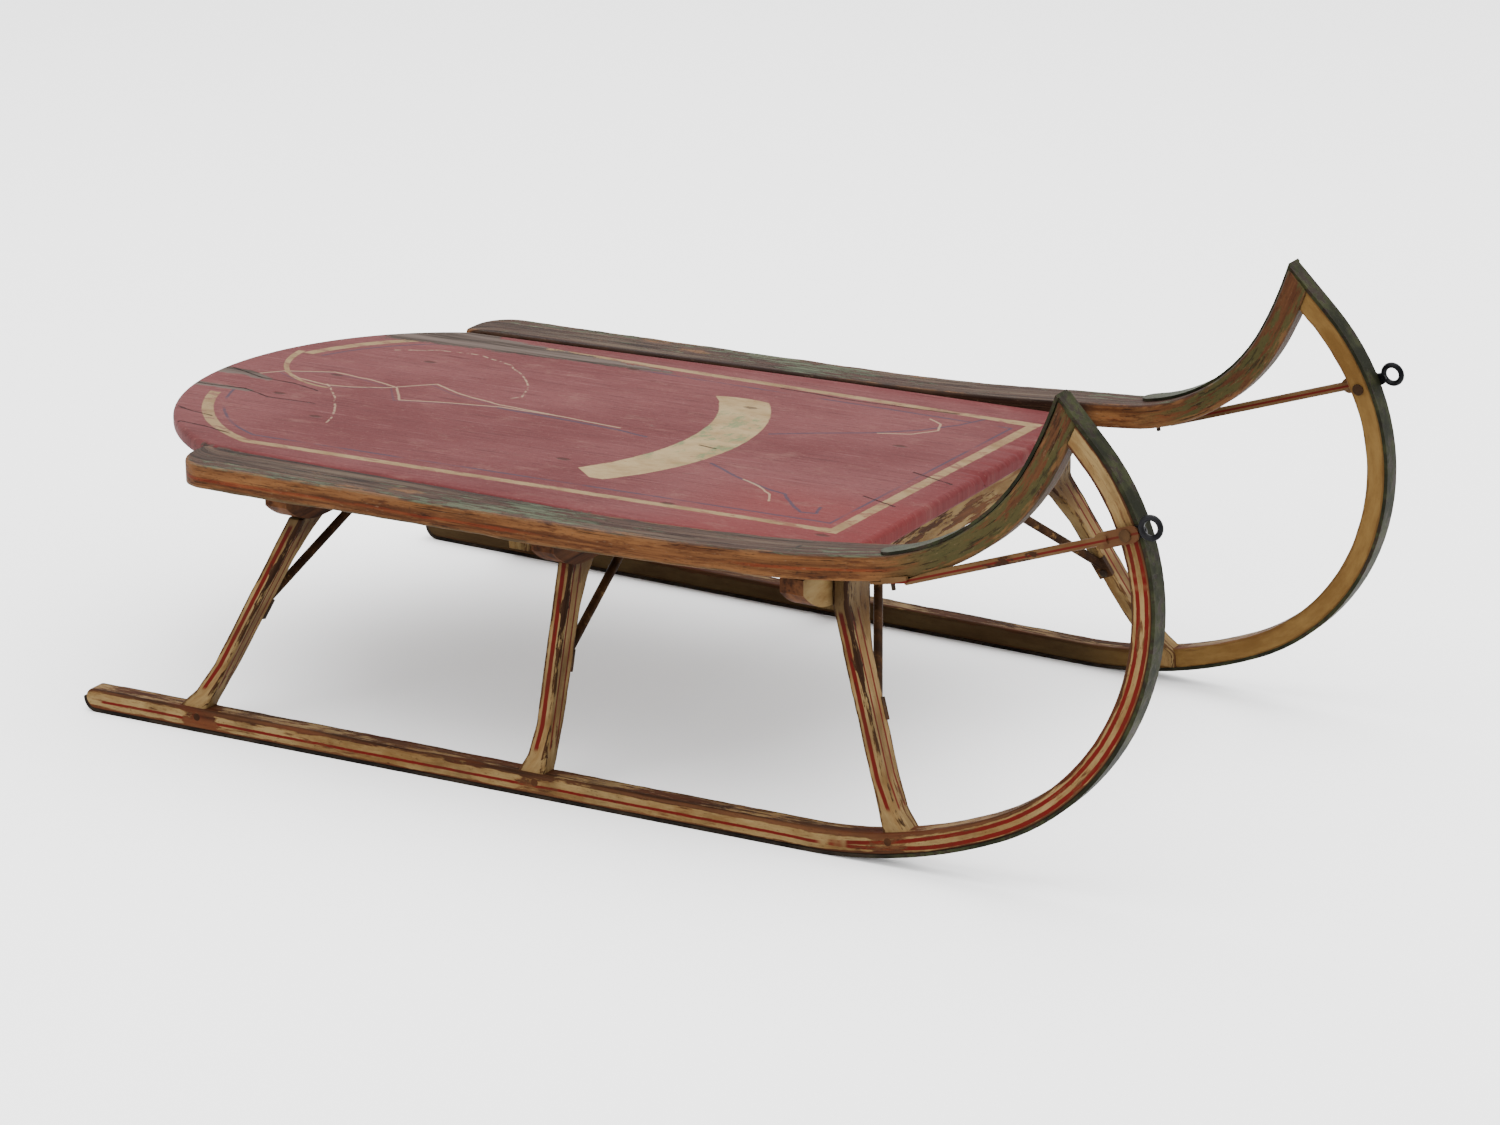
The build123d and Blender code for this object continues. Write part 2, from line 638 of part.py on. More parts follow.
deck_screws, rail_screws = [], []
for name, x in beam_places.items():
    for y in (-deck_screw_row, deck_screw_row):
        deck_screws.append(screw(Vector(x, y, deck_top(x) - head_sink), Vector(0, 0, -1), screw_length))
    rail_x = x + rail_screw_forward[name]
    rail_screws.append(screw(Vector(rail_x, rail_middle, rail_top(rail_x) - head_sink),
                             Vector(0, 0, -1), screw_length))
for one in deck_screws:
    deck = deck - one
for one in rail_screws:
    rail = rail - one
for name in beams:
    for one in deck_screws + rail_screws + [mirrored(one) for one in rail_screws]:
        beams[name] = beams[name] - one

# ---- every node, moved so that the origin is under the middle of the sled -----------------------
nodes = {"deck": [deck], "rear_cleat": [cleat]}
for name in beams:
    nodes["crossbeam_" + name] = [beams[name]]
handed = {"rail": rail, "runner": runner, "shoe": shoe, "brace": brace, "tow_eye": tow_eye,
          "brace_rivet": rivet}
for name in posts:
    handed["post_" + name] = posts[name]
    handed["stay_" + name] = stays[name]
for name, shape in handed.items():
    nodes[name + "_right"] = [shape]
    nodes[name + "_left"] = [mirrored(shape)]
groups = {"foot_pegs": pegs, "shoe_nails": nails, "rail_screws": rail_screws,
          "stay_screws": stay_screws, "brace_screws": [rear_screw]}
for name, shapes in groups.items():
    nodes[name] = shapes + [mirrored(shape) for shape in shapes]
nodes["deck_screws"] = deck_screws

everything = Compound(children=[solid for shapes in nodes.values() for shape in shapes
                                for solid in shape.solids()])
box = everything.bounding_box()
home = Pos(-(box.min.X + box.max.X) / 2, 0, -box.min.Z)
for name, shapes in nodes.items():
    solids = [home * solid for shape in shapes for solid in shape.solids()]
    node = solids[0] if len(solids) == 1 else Compound(children=solids)
    export_step(node, f"parts/{name}.step")
print("overall", [round(v, 1) for v in (box.size.X, box.size.Y, box.size.Z)], "moved", home.position)
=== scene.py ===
# Looks of the bow-runner sled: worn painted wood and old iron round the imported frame. Metres.
from functools import reduce
import math
import bmesh
import bpy
import numpy as np
from mathutils import Matrix, Vector


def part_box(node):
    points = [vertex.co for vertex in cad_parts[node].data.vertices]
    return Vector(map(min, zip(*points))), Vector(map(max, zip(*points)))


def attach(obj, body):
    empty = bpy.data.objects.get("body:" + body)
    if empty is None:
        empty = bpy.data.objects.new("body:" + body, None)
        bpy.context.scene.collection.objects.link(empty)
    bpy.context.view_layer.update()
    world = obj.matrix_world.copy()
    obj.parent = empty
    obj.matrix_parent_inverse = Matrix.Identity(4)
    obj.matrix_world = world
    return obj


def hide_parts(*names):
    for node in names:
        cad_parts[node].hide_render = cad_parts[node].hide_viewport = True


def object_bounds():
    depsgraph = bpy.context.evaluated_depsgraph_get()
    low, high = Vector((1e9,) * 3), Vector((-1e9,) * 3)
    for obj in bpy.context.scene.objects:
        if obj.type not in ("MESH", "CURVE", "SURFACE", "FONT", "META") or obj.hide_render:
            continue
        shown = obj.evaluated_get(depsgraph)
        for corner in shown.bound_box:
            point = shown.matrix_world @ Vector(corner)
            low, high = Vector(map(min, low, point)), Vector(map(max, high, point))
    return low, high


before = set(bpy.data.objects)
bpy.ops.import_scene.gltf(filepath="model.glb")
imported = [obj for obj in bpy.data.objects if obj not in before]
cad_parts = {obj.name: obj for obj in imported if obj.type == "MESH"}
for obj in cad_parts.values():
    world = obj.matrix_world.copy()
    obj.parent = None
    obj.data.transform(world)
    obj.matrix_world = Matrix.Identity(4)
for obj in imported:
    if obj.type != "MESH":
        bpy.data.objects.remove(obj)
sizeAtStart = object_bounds()
rng = np.random.default_rng(11)

# the side view counts forward from the runners' rear ends; rearX is where they are in the frame
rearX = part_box("runner_right")[0].x


# A track is a side-view curve of straight lines (length,) and left-hand bends (radius, degrees),
# walked in steps of about a millimetre: each step moves along the heading at its middle.
def trackOf(start, heading, moves):
    headings, lengths, angle = [], [], math.radians(heading)
    for move in moves:
        turn = math.radians(move[1]) if len(move) == 2 else 0.0
        length = move[0] * turn if len(move) == 2 else move[0]
        count = max(2, int(length / 0.001))
        headings.append(angle + turn * (np.arange(count) + 0.5) / count)
        lengths.append(np.full(count, length / count))
        angle += turn
    headings, lengths = np.concatenate(headings), np.concatenate(lengths)
    s = np.concatenate([[0], np.cumsum(lengths)])
    x = start[0] + np.concatenate([[0], np.cumsum(np.cos(headings) * lengths)])
    z = start[1] + np.concatenate([[0], np.cumsum(np.sin(headings) * lengths)])
    ends = np.concatenate([[headings[0]], (headings[1:] + headings[:-1]) / 2, [headings[-1]]])
    return {"s": s, "x": x, "z": z, "angle": ends, "length": s[-1]}


# a point on the track at distance s, moved to its left by the given amount
def onTrack(track, s, left):
    angle = np.interp(s, track["s"], track["angle"])
    x = np.interp(s, track["s"], track["x"]) - np.sin(angle) * left
    z = np.interp(s, track["s"], track["z"]) + np.cos(angle) * left
    return x, z


# smooth one-dimensional noise between -1 and 1: random heights joined by a cubic ease
def wander(s, pitch):
    s = np.asarray(s, float)
    knots = rng.uniform(-1, 1, int((s.max() - s.min()) / pitch) + 3)
    place = (s - s.min()) / pitch
    low = place.astype(int)
    share = place - low
    share = share * share * (3 - 2 * share)
    return knots[low] * (1 - share) + knots[low + 1] * share


# The outline of a rounded rectangle: which corner each point turns round (first, and second for the
# points between two corners), and the direction from the corner's centre. Points crowd near corners.
def ringOf(acrossCount, deepCount, cornerCount=5):
    corners = np.array([(1, 1), (-1, 1), (-1, -1), (1, -1)], float)
    first, second, share, angle = [], [], [], []
    for number in range(4):
        count = acrossCount if number in (0, 2) else deepCount
        between = 0.5 - 0.5 * np.cos(math.pi * np.arange(1, count) / count)
        first.append(np.full(cornerCount + count - 1, number))
        second.append(np.concatenate([np.full(cornerCount, number), np.full(count - 1, (number + 1) % 4)]))
        share.append(np.concatenate([np.zeros(cornerCount), between]))
        angle.append(90 * number + np.concatenate([np.linspace(0, 90, cornerCount), np.full(count - 1, 90)]))
    first, second, share, angle = (np.concatenate(part) for part in (first, second, share, angle))
    middle = corners[first] + (corners[second] - corners[first]) * share[:, None]
    return {"p": middle[:, 0], "q": middle[:, 1], "turnP": np.cos(np.radians(angle)),
            "turnQ": np.sin(np.radians(angle)), "first": first, "second": second, "share": share,
            "inset": np.minimum(share, 1 - share)}


# an object at the origin from points, faces and values kept at the points
def meshOf(name, points, faces, attributes):
    mesh = bpy.data.meshes.new(name)
    mesh.from_pydata(points.reshape(-1, 3).tolist(), [], faces)
    for key, values in attributes.items():
        kind = "FLOAT_VECTOR" if values.ndim > 1 and values.shape[-1] == 3 else "FLOAT"
        field = "vector" if kind == "FLOAT_VECTOR" else "value"
        layer = mesh.attributes.new(key, kind, "POINT")
        layer.data.foreach_set(field, values.astype(np.float32).ravel())
    mesh.polygons.foreach_set("use_smooth", np.ones(len(mesh.polygons), bool))
    mesh.update()
    piece = bpy.data.objects.new(name, mesh)
    bpy.context.scene.collection.objects.link(piece)
    normals = piece.modifiers.new("normals", "WEIGHTED_NORMAL")
    normals.keep_sharp = False
    return piece


# A bar is a row of rounded rectangles joined by walls and closed by a fan at each end. place turns
# (distance, across, deep) into points and a flow vector (along, across, deep) that paint and grain
# follow; across and deep take a half size and give each point's offset. The edge attribute is the
# distance from the nearest corner.
def barOf(name, stations, radii, ring, place, flip):
    r = radii[:, ring["first"]] * (1 - ring["share"]) + radii[:, ring["second"]] * ring["share"]

    def across(half):
        return ring["p"] * (half - r) + r * ring["turnP"]

    def deep(half):
        return ring["q"] * (half - r) + r * ring["turnQ"]

    s = np.repeat(stations[:, None], len(ring["p"]), 1)
    points, flow, halves = place(s, across, deep)
    edge = ring["inset"] * 2 * halves + np.zeros_like(s)
    n, m = s.shape
    middles = np.stack([points[0].mean(0), points[-1].mean(0)])
    middleFlow = np.stack([flow[0].mean(0), flow[-1].mean(0)])
    allPoints = np.concatenate([points.reshape(-1, 3), middles])
    allFlow = np.concatenate([flow.reshape(-1, 3), middleFlow])
    capEdge = 0.004
    allEdge = np.concatenate([edge.ravel(), [capEdge, capEdge]])
    index = np.arange(n * m).reshape(n, m)
    following = np.roll(index, -1, 1)
    walls = np.stack([index[:-1], index[1:], following[1:], following[:-1]], -1).reshape(-1, 4)
    startCap = np.stack([np.full(m, n * m), index[0], following[0]], -1)
    endCap = np.stack([np.full(m, n * m + 1), following[-1], index[-1]], -1)
    order = -1 if flip else 1
    faces = [face for part in (walls, startCap, endCap) for face in part[:, ::order].tolist()]
    return meshOf(name, allPoints, faces, {"flow": allFlow, "edge": allEdge})


def finishPiece(piece, node, material):
    piece.data.materials.clear()
    piece.data.materials.append(material)
    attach(piece, "root")
    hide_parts(node)


# side is -1 for the right and 1 for the left
def onSide(stem, side):
    return stem + ("_right" if side < 0 else "_left")


# a node's name as one word
def pieceName(node):
    first, *others = node.split("_")
    return first + "".join(word.title() for word in others)


# a copy of a CAD node with merged vertices and softened edges
def softened(node, bevel, material):
    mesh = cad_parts[node].data.copy()
    work = bmesh.new()
    work.from_mesh(mesh)
    bmesh.ops.remove_doubles(work, verts=work.verts, dist=1e-6)
    bmesh.ops.dissolve_limit(work, angle_limit=math.radians(0.5), verts=work.verts, edges=work.edges)
    work.to_mesh(mesh)
    work.free()
    mesh.polygons.foreach_set("use_smooth", np.ones(len(mesh.polygons), bool))
    piece = bpy.data.objects.new(pieceName(node), mesh)
    bpy.context.scene.collection.objects.link(piece)
    rounding = piece.modifiers.new("edges", "BEVEL")
    rounding.width = bevel
    rounding.segments = 2
    rounding.limit_method = "ANGLE"
    rounding.angle_limit = math.radians(35)
    normals = piece.modifiers.new("normals", "WEIGHTED_NORMAL")
    normals.keep_sharp = False
    finishPiece(piece, node, material)


class Wire:
    # a value on its way between shader nodes, with ordinary arithmetic
    def __init__(self, board, socket):
        self.board, self.socket = board, socket

    def __add__(self, other):
        return self.board.math("ADD", self, other)

    def __radd__(self, other):
        return self.board.math("ADD", other, self)

    def __sub__(self, other):
        return self.board.math("SUBTRACT", self, other)

    def __rsub__(self, other):
        return self.board.math("SUBTRACT", other, self)

    def __mul__(self, other):
        return self.board.math("MULTIPLY", self, other)

    def __rmul__(self, other):
        return self.board.math("MULTIPLY", other, self)

    def __truediv__(self, other):
        return self.board.math("DIVIDE", self, other)

    def __rtruediv__(self, other):
        return self.board.math("DIVIDE", other, self)

    def __pow__(self, other):
        return self.board.math("POWER", self, other)

    def __abs__(self):
        return self.board.math("ABSOLUTE", self)

    def least(self, other):
        return self.board.math("MINIMUM", self, other)

    def most(self, other):
        return self.board.math("MAXIMUM", self, other)

    # 0 below low, 1 above high, eased between; low may be the larger one
    def rise(self, low, high):
        node = self.board.make("ShaderNodeMapRange", interpolation_type="SMOOTHSTEP")
        self.board.feed(node.inputs[0], self)
        node.inputs[1].default_value, node.inputs[2].default_value = low, high
        return Wire(self.board, node.outputs[0])


class Board:
    # one material's node tree
    def __init__(self, name):
        self.material = bpy.data.materials.new(name)
        self.material.use_nodes = True
        self.tree = self.material.node_tree
        self.tree.nodes.clear()

    def make(self, kind, **settings):
        node = self.tree.nodes.new(kind)
        for key, value in settings.items():
            setattr(node, key, value)
        return node

    def feed(self, socket, value):
        if isinstance(value, Wire):
            self.tree.links.new(value.socket, socket)
        elif socket.type == "RGBA" and len(value) == 3:
            socket.default_value = (*value, 1.0)
        else:
            socket.default_value = value

    def math(self, operation, *terms):
        node = self.make("ShaderNodeMath", operation=operation)
        for socket, term in zip(node.inputs, terms):
            self.feed(socket, term)
        return Wire(self, node.outputs[0])

    def vectorMath(self, operation, *terms, output=0):
        node = self.make("ShaderNodeVectorMath", operation=operation)
        for socket, term in zip(node.inputs, terms):
            self.feed(socket, term)
        return Wire(self, node.outputs[output])

    def place(self):
        return Wire(self, self.make("ShaderNodeTexCoord").outputs["Object"])

    def normal(self):
        return Wire(self, self.make("ShaderNodeNewGeometry").outputs["Normal"])

    def attribute(self, name, output="Vector"):
        return Wire(self, self.make("ShaderNodeAttribute", attribute_name=name).outputs[output])

    def split(self, vector):
        node = self.make("ShaderNodeSeparateXYZ")
        self.feed(node.inputs[0], vector)
        return [Wire(self, socket) for socket in node.outputs]

    def join(self, x, y, z):
        node = self.make("ShaderNodeCombineXYZ")
        for socket, value in zip(node.inputs, (x, y, z)):
            self.feed(socket, value)
        return Wire(self, node.outputs[0])

    # noise between 0 and 1; the scales are its patches per metre along x, y and z of the vector
    def noise(self, vector, scales, detail, rough=0.55):
        node = self.make("ShaderNodeTexNoise")
        self.feed(node.inputs["Vector"], self.vectorMath("MULTIPLY", vector, scales))
        for key, value in (("Scale", 1.0), ("Detail", detail), ("Roughness", rough)):
            node.inputs[key].default_value = value
        return Wire(self, node.outputs[0])

    # colour a where the factor is 0, colour b where it is 1; a colour of three numbers is a look
    def blend(self, factor, a, b):
        node = self.make("ShaderNodeMix", data_type="RGBA")
        a, b = (tone(*colour) if isinstance(colour, tuple) else colour for colour in (a, b))
        for number, value in ((0, factor), (6, a), (7, b)):
            self.feed(node.inputs[number], value)
        return Wire(self, node.outputs[2])

    # distance in the plane from a row of short straight lines
    def awayFrom(self, plan, points):
        nearest = None
        for (ax, ay), (bx, by) in zip(points[:-1], points[1:]):
            dx, dy = bx - ax, by - ay
            fromA = self.vectorMath("SUBTRACT", plan, (ax, ay, 0.0))
            share = self.vectorMath("DOT_PRODUCT", fromA, (dx, dy, 0.0), output=1)
            share = (share / (dx * dx + dy * dy)).most(0.0).least(1.0)
            along = self.join(share * dx, share * dy, 0.0)
            gap = self.vectorMath("DISTANCE", fromA, along, output=1)
            nearest = gap if nearest is None else nearest.least(gap)
        return nearest

    # height is a relief for the bump node, reach its depth in metres
    def finish(self, colour, roughness, height=None, reach=0.001, metallic=0.0, strength=1.0):
        shader = self.make("ShaderNodeBsdfPrincipled")
        self.feed(shader.inputs["Base Color"], colour)
        self.feed(shader.inputs["Roughness"], roughness)
        self.feed(shader.inputs["Metallic"], metallic)
        shader.inputs["Specular IOR Level"].default_value = gloss
        if height is not None:
            bump = self.make("ShaderNodeBump")
            bump.inputs["Distance"].default_value = reach
            bump.inputs["Strength"].default_value = strength
            self.feed(bump.inputs["Height"], height)
            self.tree.links.new(bump.outputs[0], shader.inputs["Normal"])
        output = self.make("ShaderNodeOutputMaterial")
        self.tree.links.new(shader.outputs[0], output.inputs[0])
        return self.material


# the room throws about this much light on a piece, so its colours are made darker by as much
roomLight = 3.0
# old dry paint, bare wood and rust hardly shine
gloss = 0.03


# a colour as it looks in the lit scene, 0 to 255, as the linear share of light that it returns
def tone(r, g, b):
    values = [v / 255 for v in (r, g, b)]
    return tuple((v / 12.92 if v <= 0.04045 else ((v + 0.055) / 1.055) ** 2.4) / roomLight for v in values)


# the largest of several masks
def anyOf(masks):
    return reduce(lambda a, b: a.most(b), masks)


# bare wood: long streaks of three browns, dark, middle and light; gives a colour and a height
def bareWood(board, vector, browns, along):
    dark, middle, light = browns
    grain = board.noise(vector, along, 6.0, 0.6)
    broad = board.noise(vector, tuple(v / 4 for v in along), 3.0, 0.5)
    colour = board.blend(grain.rise(0.35, 0.62), dark, middle)
    colour = board.blend(broad.rise(0.42, 0.7), colour, light)
    return colour, grain


# chipping: a ragged 0 to 1 mask that grows towards worn edges. A fine and a broad noise are mixed,
# wear is added, and the mask rises where the sum passes chipLevel, within soft on both sides.
chipLevel = 0.56


def chips(board, vector, wear, scales, soft):
    fine = board.noise(vector, scales, 9.0, 0.68)
    broad = board.noise(vector, tuple(v / 5 for v in scales), 4.0, 0.6)
    mask = fine * 0.55 + broad * 0.45 + wear
    return mask.rise(chipLevel - soft, chipLevel + soft)


deckValues = {
    "shoulder": 0.084, "halfShoulder": 0.1808, "taperEnd": 0.440, "halfWidth": 0.1908,
    "rear": -0.041, "front": 0.650, "cornerRadius": 0.024, "edge": 0.005, "thickness": 0.014,
    "pitch": math.radians(0.6), "columns": 75, "spacing": 0.0042, "cornerEase": 0.0012,
    # distances of the rows from the rear and the front end, in millimetres, close where the edge turns
    "rearRows": (0.02, 0.1, 0.3, 0.6, 1.0, 1.5, 2.1, 2.8, 3.6, 4.4, 5.2, 6.5, 8, 10, 13, 16, 20, 25),
    "frontRows": (7.0, 5.6, 5.0, 4.4, 3.6, 2.8, 2.1, 1.5, 1.0, 0.6, 0.3, 0.1, 0.0),
    # shares of the half width that the outermost columns have
    "flat": 0.955, "sideColumns": (0.966, 0.972, 0.978, 0.983, 0.988, 0.992, 0.995, 0.998, 1.0),
    # dents of the front edge
    "dents": 16, "dentsTo": 0.16, "dentDepth": 0.0016, "dentWidth": 0.0022, "dentLength": 0.011,
    "dentInset": 0.02,
}


# half width along the side: it grows evenly from the shoulder to taperEnd and keeps its value beyond
def deckSide(x):
    v = deckValues
    share = np.clip((x - v["shoulder"]) / (v["taperEnd"] - v["shoulder"]), 0, 1)
    return v["halfShoulder"] + share * (v["halfWidth"] - v["halfShoulder"])


# the rear end is a circle through both shoulders and the rearmost point
deckSag = deckValues["shoulder"] - deckValues["rear"]
deckRadius = (deckSag ** 2 + deckValues["halfShoulder"] ** 2) / (2 * deckSag)
deckCentre = deckValues["rear"] + deckRadius


# half width at x: the least of the side line, the rear circle and the front corner's circle
def deckHalf(x):
    v = deckValues
    circle = np.sqrt(np.clip(deckRadius ** 2 - np.clip(deckCentre - x, 0, None) ** 2, 0, None))
    # the joint of circle and side is eased over a few millimetres
    soft = v["cornerEase"]
    half = -soft * np.logaddexp(-deckSide(x) / soft, -circle / soft)
    into = np.clip(x - (v["front"] - v["cornerRadius"]), 0, v["cornerRadius"])
    return half - (v["cornerRadius"] - np.sqrt(v["cornerRadius"] ** 2 - into ** 2))


# distance inwards from the outline
def deckInset(x, y):
    v = deckValues
    side = deckSide(x) - np.abs(y)
    circle = deckRadius - np.hypot(np.clip(deckCentre - x, 0, None), y)
    front = v["front"] - x
    r = v["cornerRadius"]
    cornerX, cornerY = x - (v["front"] - r), np.abs(y) - (v["halfWidth"] - r)
    corner = np.where((cornerX > 0) & (cornerY > 0), r - np.hypot(cornerX, cornerY), 1.0)
    return np.clip(np.minimum(np.minimum(side, circle), np.minimum(front, corner)), 0, None)


# The board is a grid of x and shares of the half width. Top and bottom follow the inset from the
# outline: a quarter circle of the edge's radius, and flat beyond it.
def buildDeck(material):
    v = deckValues
    rearRows = np.array(v["rearRows"]) / 1000
    frontRows = np.array(v["frontRows"]) / 1000
    inner = np.arange(v["rear"] + rearRows[-1] + 0.004, v["front"] - frontRows[0] - 0.001, v["spacing"])
    x = np.concatenate([v["rear"] + rearRows, inner, v["front"] - frontRows])
    side = np.concatenate([np.linspace(0, v["flat"], v["columns"]), v["sideColumns"]])
    share = np.concatenate([-side[::-1], side[1:]])
    gx = np.repeat(x[:, None], len(share), 1)
    gy = deckHalf(gx) * share[None, :]
    inset = deckInset(gx, gy)
    # small dents across the upper side, deepest at the front edge
    dents = np.zeros_like(gx)
    for _ in range(v["dents"]):
        across = (gy - rng.uniform(0.0, v["dentsTo"])) / v["dentWidth"]
        dents += v["dentDepth"] * np.exp(-across ** 2) * np.exp(-(v["front"] - gx) / v["dentLength"])
    r = v["edge"]
    into = np.clip(r - inset, 0, r)
    drop = r - np.sqrt(np.clip(r * r - into * into, 0, None))
    slope = math.tan(v["pitch"])
    # the board's plane rises forwards to the highest point of the CAD box
    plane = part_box("deck")[1].z + (gx - v["front"]) * slope
    top = plane - drop - dents * (inset < v["dentInset"])
    bottom = plane - v["thickness"] + drop
    n, m = gx.shape
    upper = np.stack([gx + rearX, gy, top], -1).reshape(-1, 3)
    lower = np.stack([gx + rearX, gy, bottom], -1).reshape(-1, 3)
    index = np.arange(n * m).reshape(n, m)
    quads = np.stack([index[:-1, :-1], index[1:, :-1], index[1:, 1:], index[:-1, 1:]], -1).reshape(-1, 4)
    under = quads[:, ::-1] + n * m
    rim = np.concatenate([index[0, :], index[1:, -1], index[-1, -2::-1], index[-2:0:-1, 0]])
    following = np.roll(rim, -1)
    walls = np.stack([rim, following, following + n * m, rim + n * m], -1)
    faces = np.concatenate([quads, under, walls]).tolist()
    points = np.concatenate([upper, lower])
    edge = np.concatenate([inset.ravel(), inset.ravel()])
    deck = meshOf("board", points, faces, {"edge": edge})
    finishPiece(deck, "deck", material)


# ornament on the board, drawn in the board's plan: forward from the runners' ends, and to the left
ornament = {
    "sideLine": 0.1585, "sideLean": 0.0165, "farLine": 0.1671, "farLean": 0.028,
    "frontLine": 0.621, "frontLean": 0.035,
    "rearInset": 0.0275, "width": 0.0070, "rearWidth": 0.0095,
    "thinGap": 0.0155, "thinFront": 0.609, "thinRear": 0.0405, "thinWidth": 0.0021,
    "curlCentre": (0.075, 0.075), "curlRadius": 0.084,
    "scrolls": (
        ((-0.006, -0.004), (0.013, 0.015), (0.052, 0.030), (0.091, 0.025), (0.122, 0.016), (0.136, -0.002),
         (0.144, -0.012), (0.185, -0.001), (0.226, 0.007), (0.282, 0.007), (0.341, 0.001)),
        ((0.013, 0.015), (0.036, 0.003), (0.068, -0.003), (0.088, 0.001), (0.114, 0.011),
         (0.146, 0.038), (0.178, 0.023), (0.223, 0.012), (0.282, 0.007)),
    ),
    "faint": (
        ((0.059, 0.105), (0.093, 0.121), (0.131, 0.124), (0.169, 0.110), (0.200, 0.084),
         (0.218, 0.062), (0.227, 0.038), (0.219, 0.028)),
        ((0.066, -0.001), (0.089, -0.024), (0.108, -0.050), (0.122, -0.074), (0.127, -0.090)),
    ),
    "thinFar": ((0.454, 0.039), (0.487, 0.058), (0.522, 0.076), (0.553, 0.099), (0.574, 0.125),
                (0.586, 0.150)),
    "thinNear": ((0.452, -0.046), (0.490, -0.069), (0.522, -0.082), (0.540, -0.088), (0.556, -0.106),
                 (0.572, -0.120), (0.584, -0.118), (0.580, -0.104)),
    "thinMiddle": ((0.226, 0.004), (0.282, 0.001), (0.341, -0.004), (0.372, -0.010)),
    "hooks": (
        ((0.528, 0.078), (0.552, 0.087), (0.566, 0.104), (0.560, 0.120), (0.546, 0.129)),
        ((0.494, -0.070), (0.514, -0.080), (0.530, -0.093), (0.538, -0.107)),
    ),
    # banner: two circles (x, y, radius), a point of its slanting near cut, and its ends to the sides
    "bannerOuter": (0.274, 0.004, 0.174), "bannerInner": (0.238, 0.003, 0.165),
    "bannerCut": (0.381, -0.112), "bannerNear": -0.117, "bannerFar": 0.113, "bannerBend": 0.39,
    # the bare patch between two slanting lines along the far rear edge
    "patchLow": 0.134, "patchHigh": 0.1735, "patchFrom": 0.028, "patchTo": 0.315,
    # where the stripe breaks off behind, to the right and to the left
    "breakRight": -0.0565, "breakLeft": 0.066,
    "cracks": (
        ((-0.042, -0.044), (-0.014, -0.043), (0.013, -0.040), (0.044, -0.052), (0.088, -0.050)),
        ((-0.006, -0.104), (0.012, -0.110), (0.034, -0.114)),
        ((0.018, -0.136), (0.045, -0.139), (0.075, -0.146)),
        ((-0.030, 0.004), (0.008, -0.009), (0.040, -0.011), (0.070, -0.020)),
        ((0.400, 0.150), (0.470, 0.146), (0.560, 0.150)),
        ((0.595, -0.066), (0.628, -0.078)), ((0.600, 0.002), (0.640, -0.012)),
        ((0.420, -0.010), (0.436, -0.013)),
    ),
    "knots": ((0.058, 0.024), (0.105, 0.089), (0.109, -0.079), (0.265, 0.144), (0.559, 0.056),
              (0.474, -0.146), (0.046, -0.039), (0.345, -0.087), (0.405, 0.093), (0.613, -0.160)),
}


boardColours = {
    "redDeep": (118, 60, 61), "redPale": (139, 81, 81), "streakDark": (84, 44, 44),
    "streakLight": (160, 108, 106), "freshRed": (118, 38, 42), "warmRed": (146, 60, 58),
    "dust": (160, 112, 104), "speckDark": (78, 40, 40), "speckLight": (178, 132, 122),
    "thinLine": (78, 70, 86), "stripeLight": (178, 150, 110), "stripeDark": (150, 120, 84),
    "faintLine": (196, 170, 140), "scroll": (188, 158, 128), "bannerLight": (200, 174, 130),
    "bannerDark": (170, 140, 98), "bannerGreen": (132, 146, 104), "bannerRust": (140, 84, 66),
    "greyWood": ((66, 56, 50), (104, 90, 82), (128, 112, 104)), "knot": (70, 48, 40),
    "crack": (44, 28, 26), "scratch": (200, 172, 158),
    "underWood": ((74, 48, 30), (112, 78, 50), (134, 98, 66)),
}


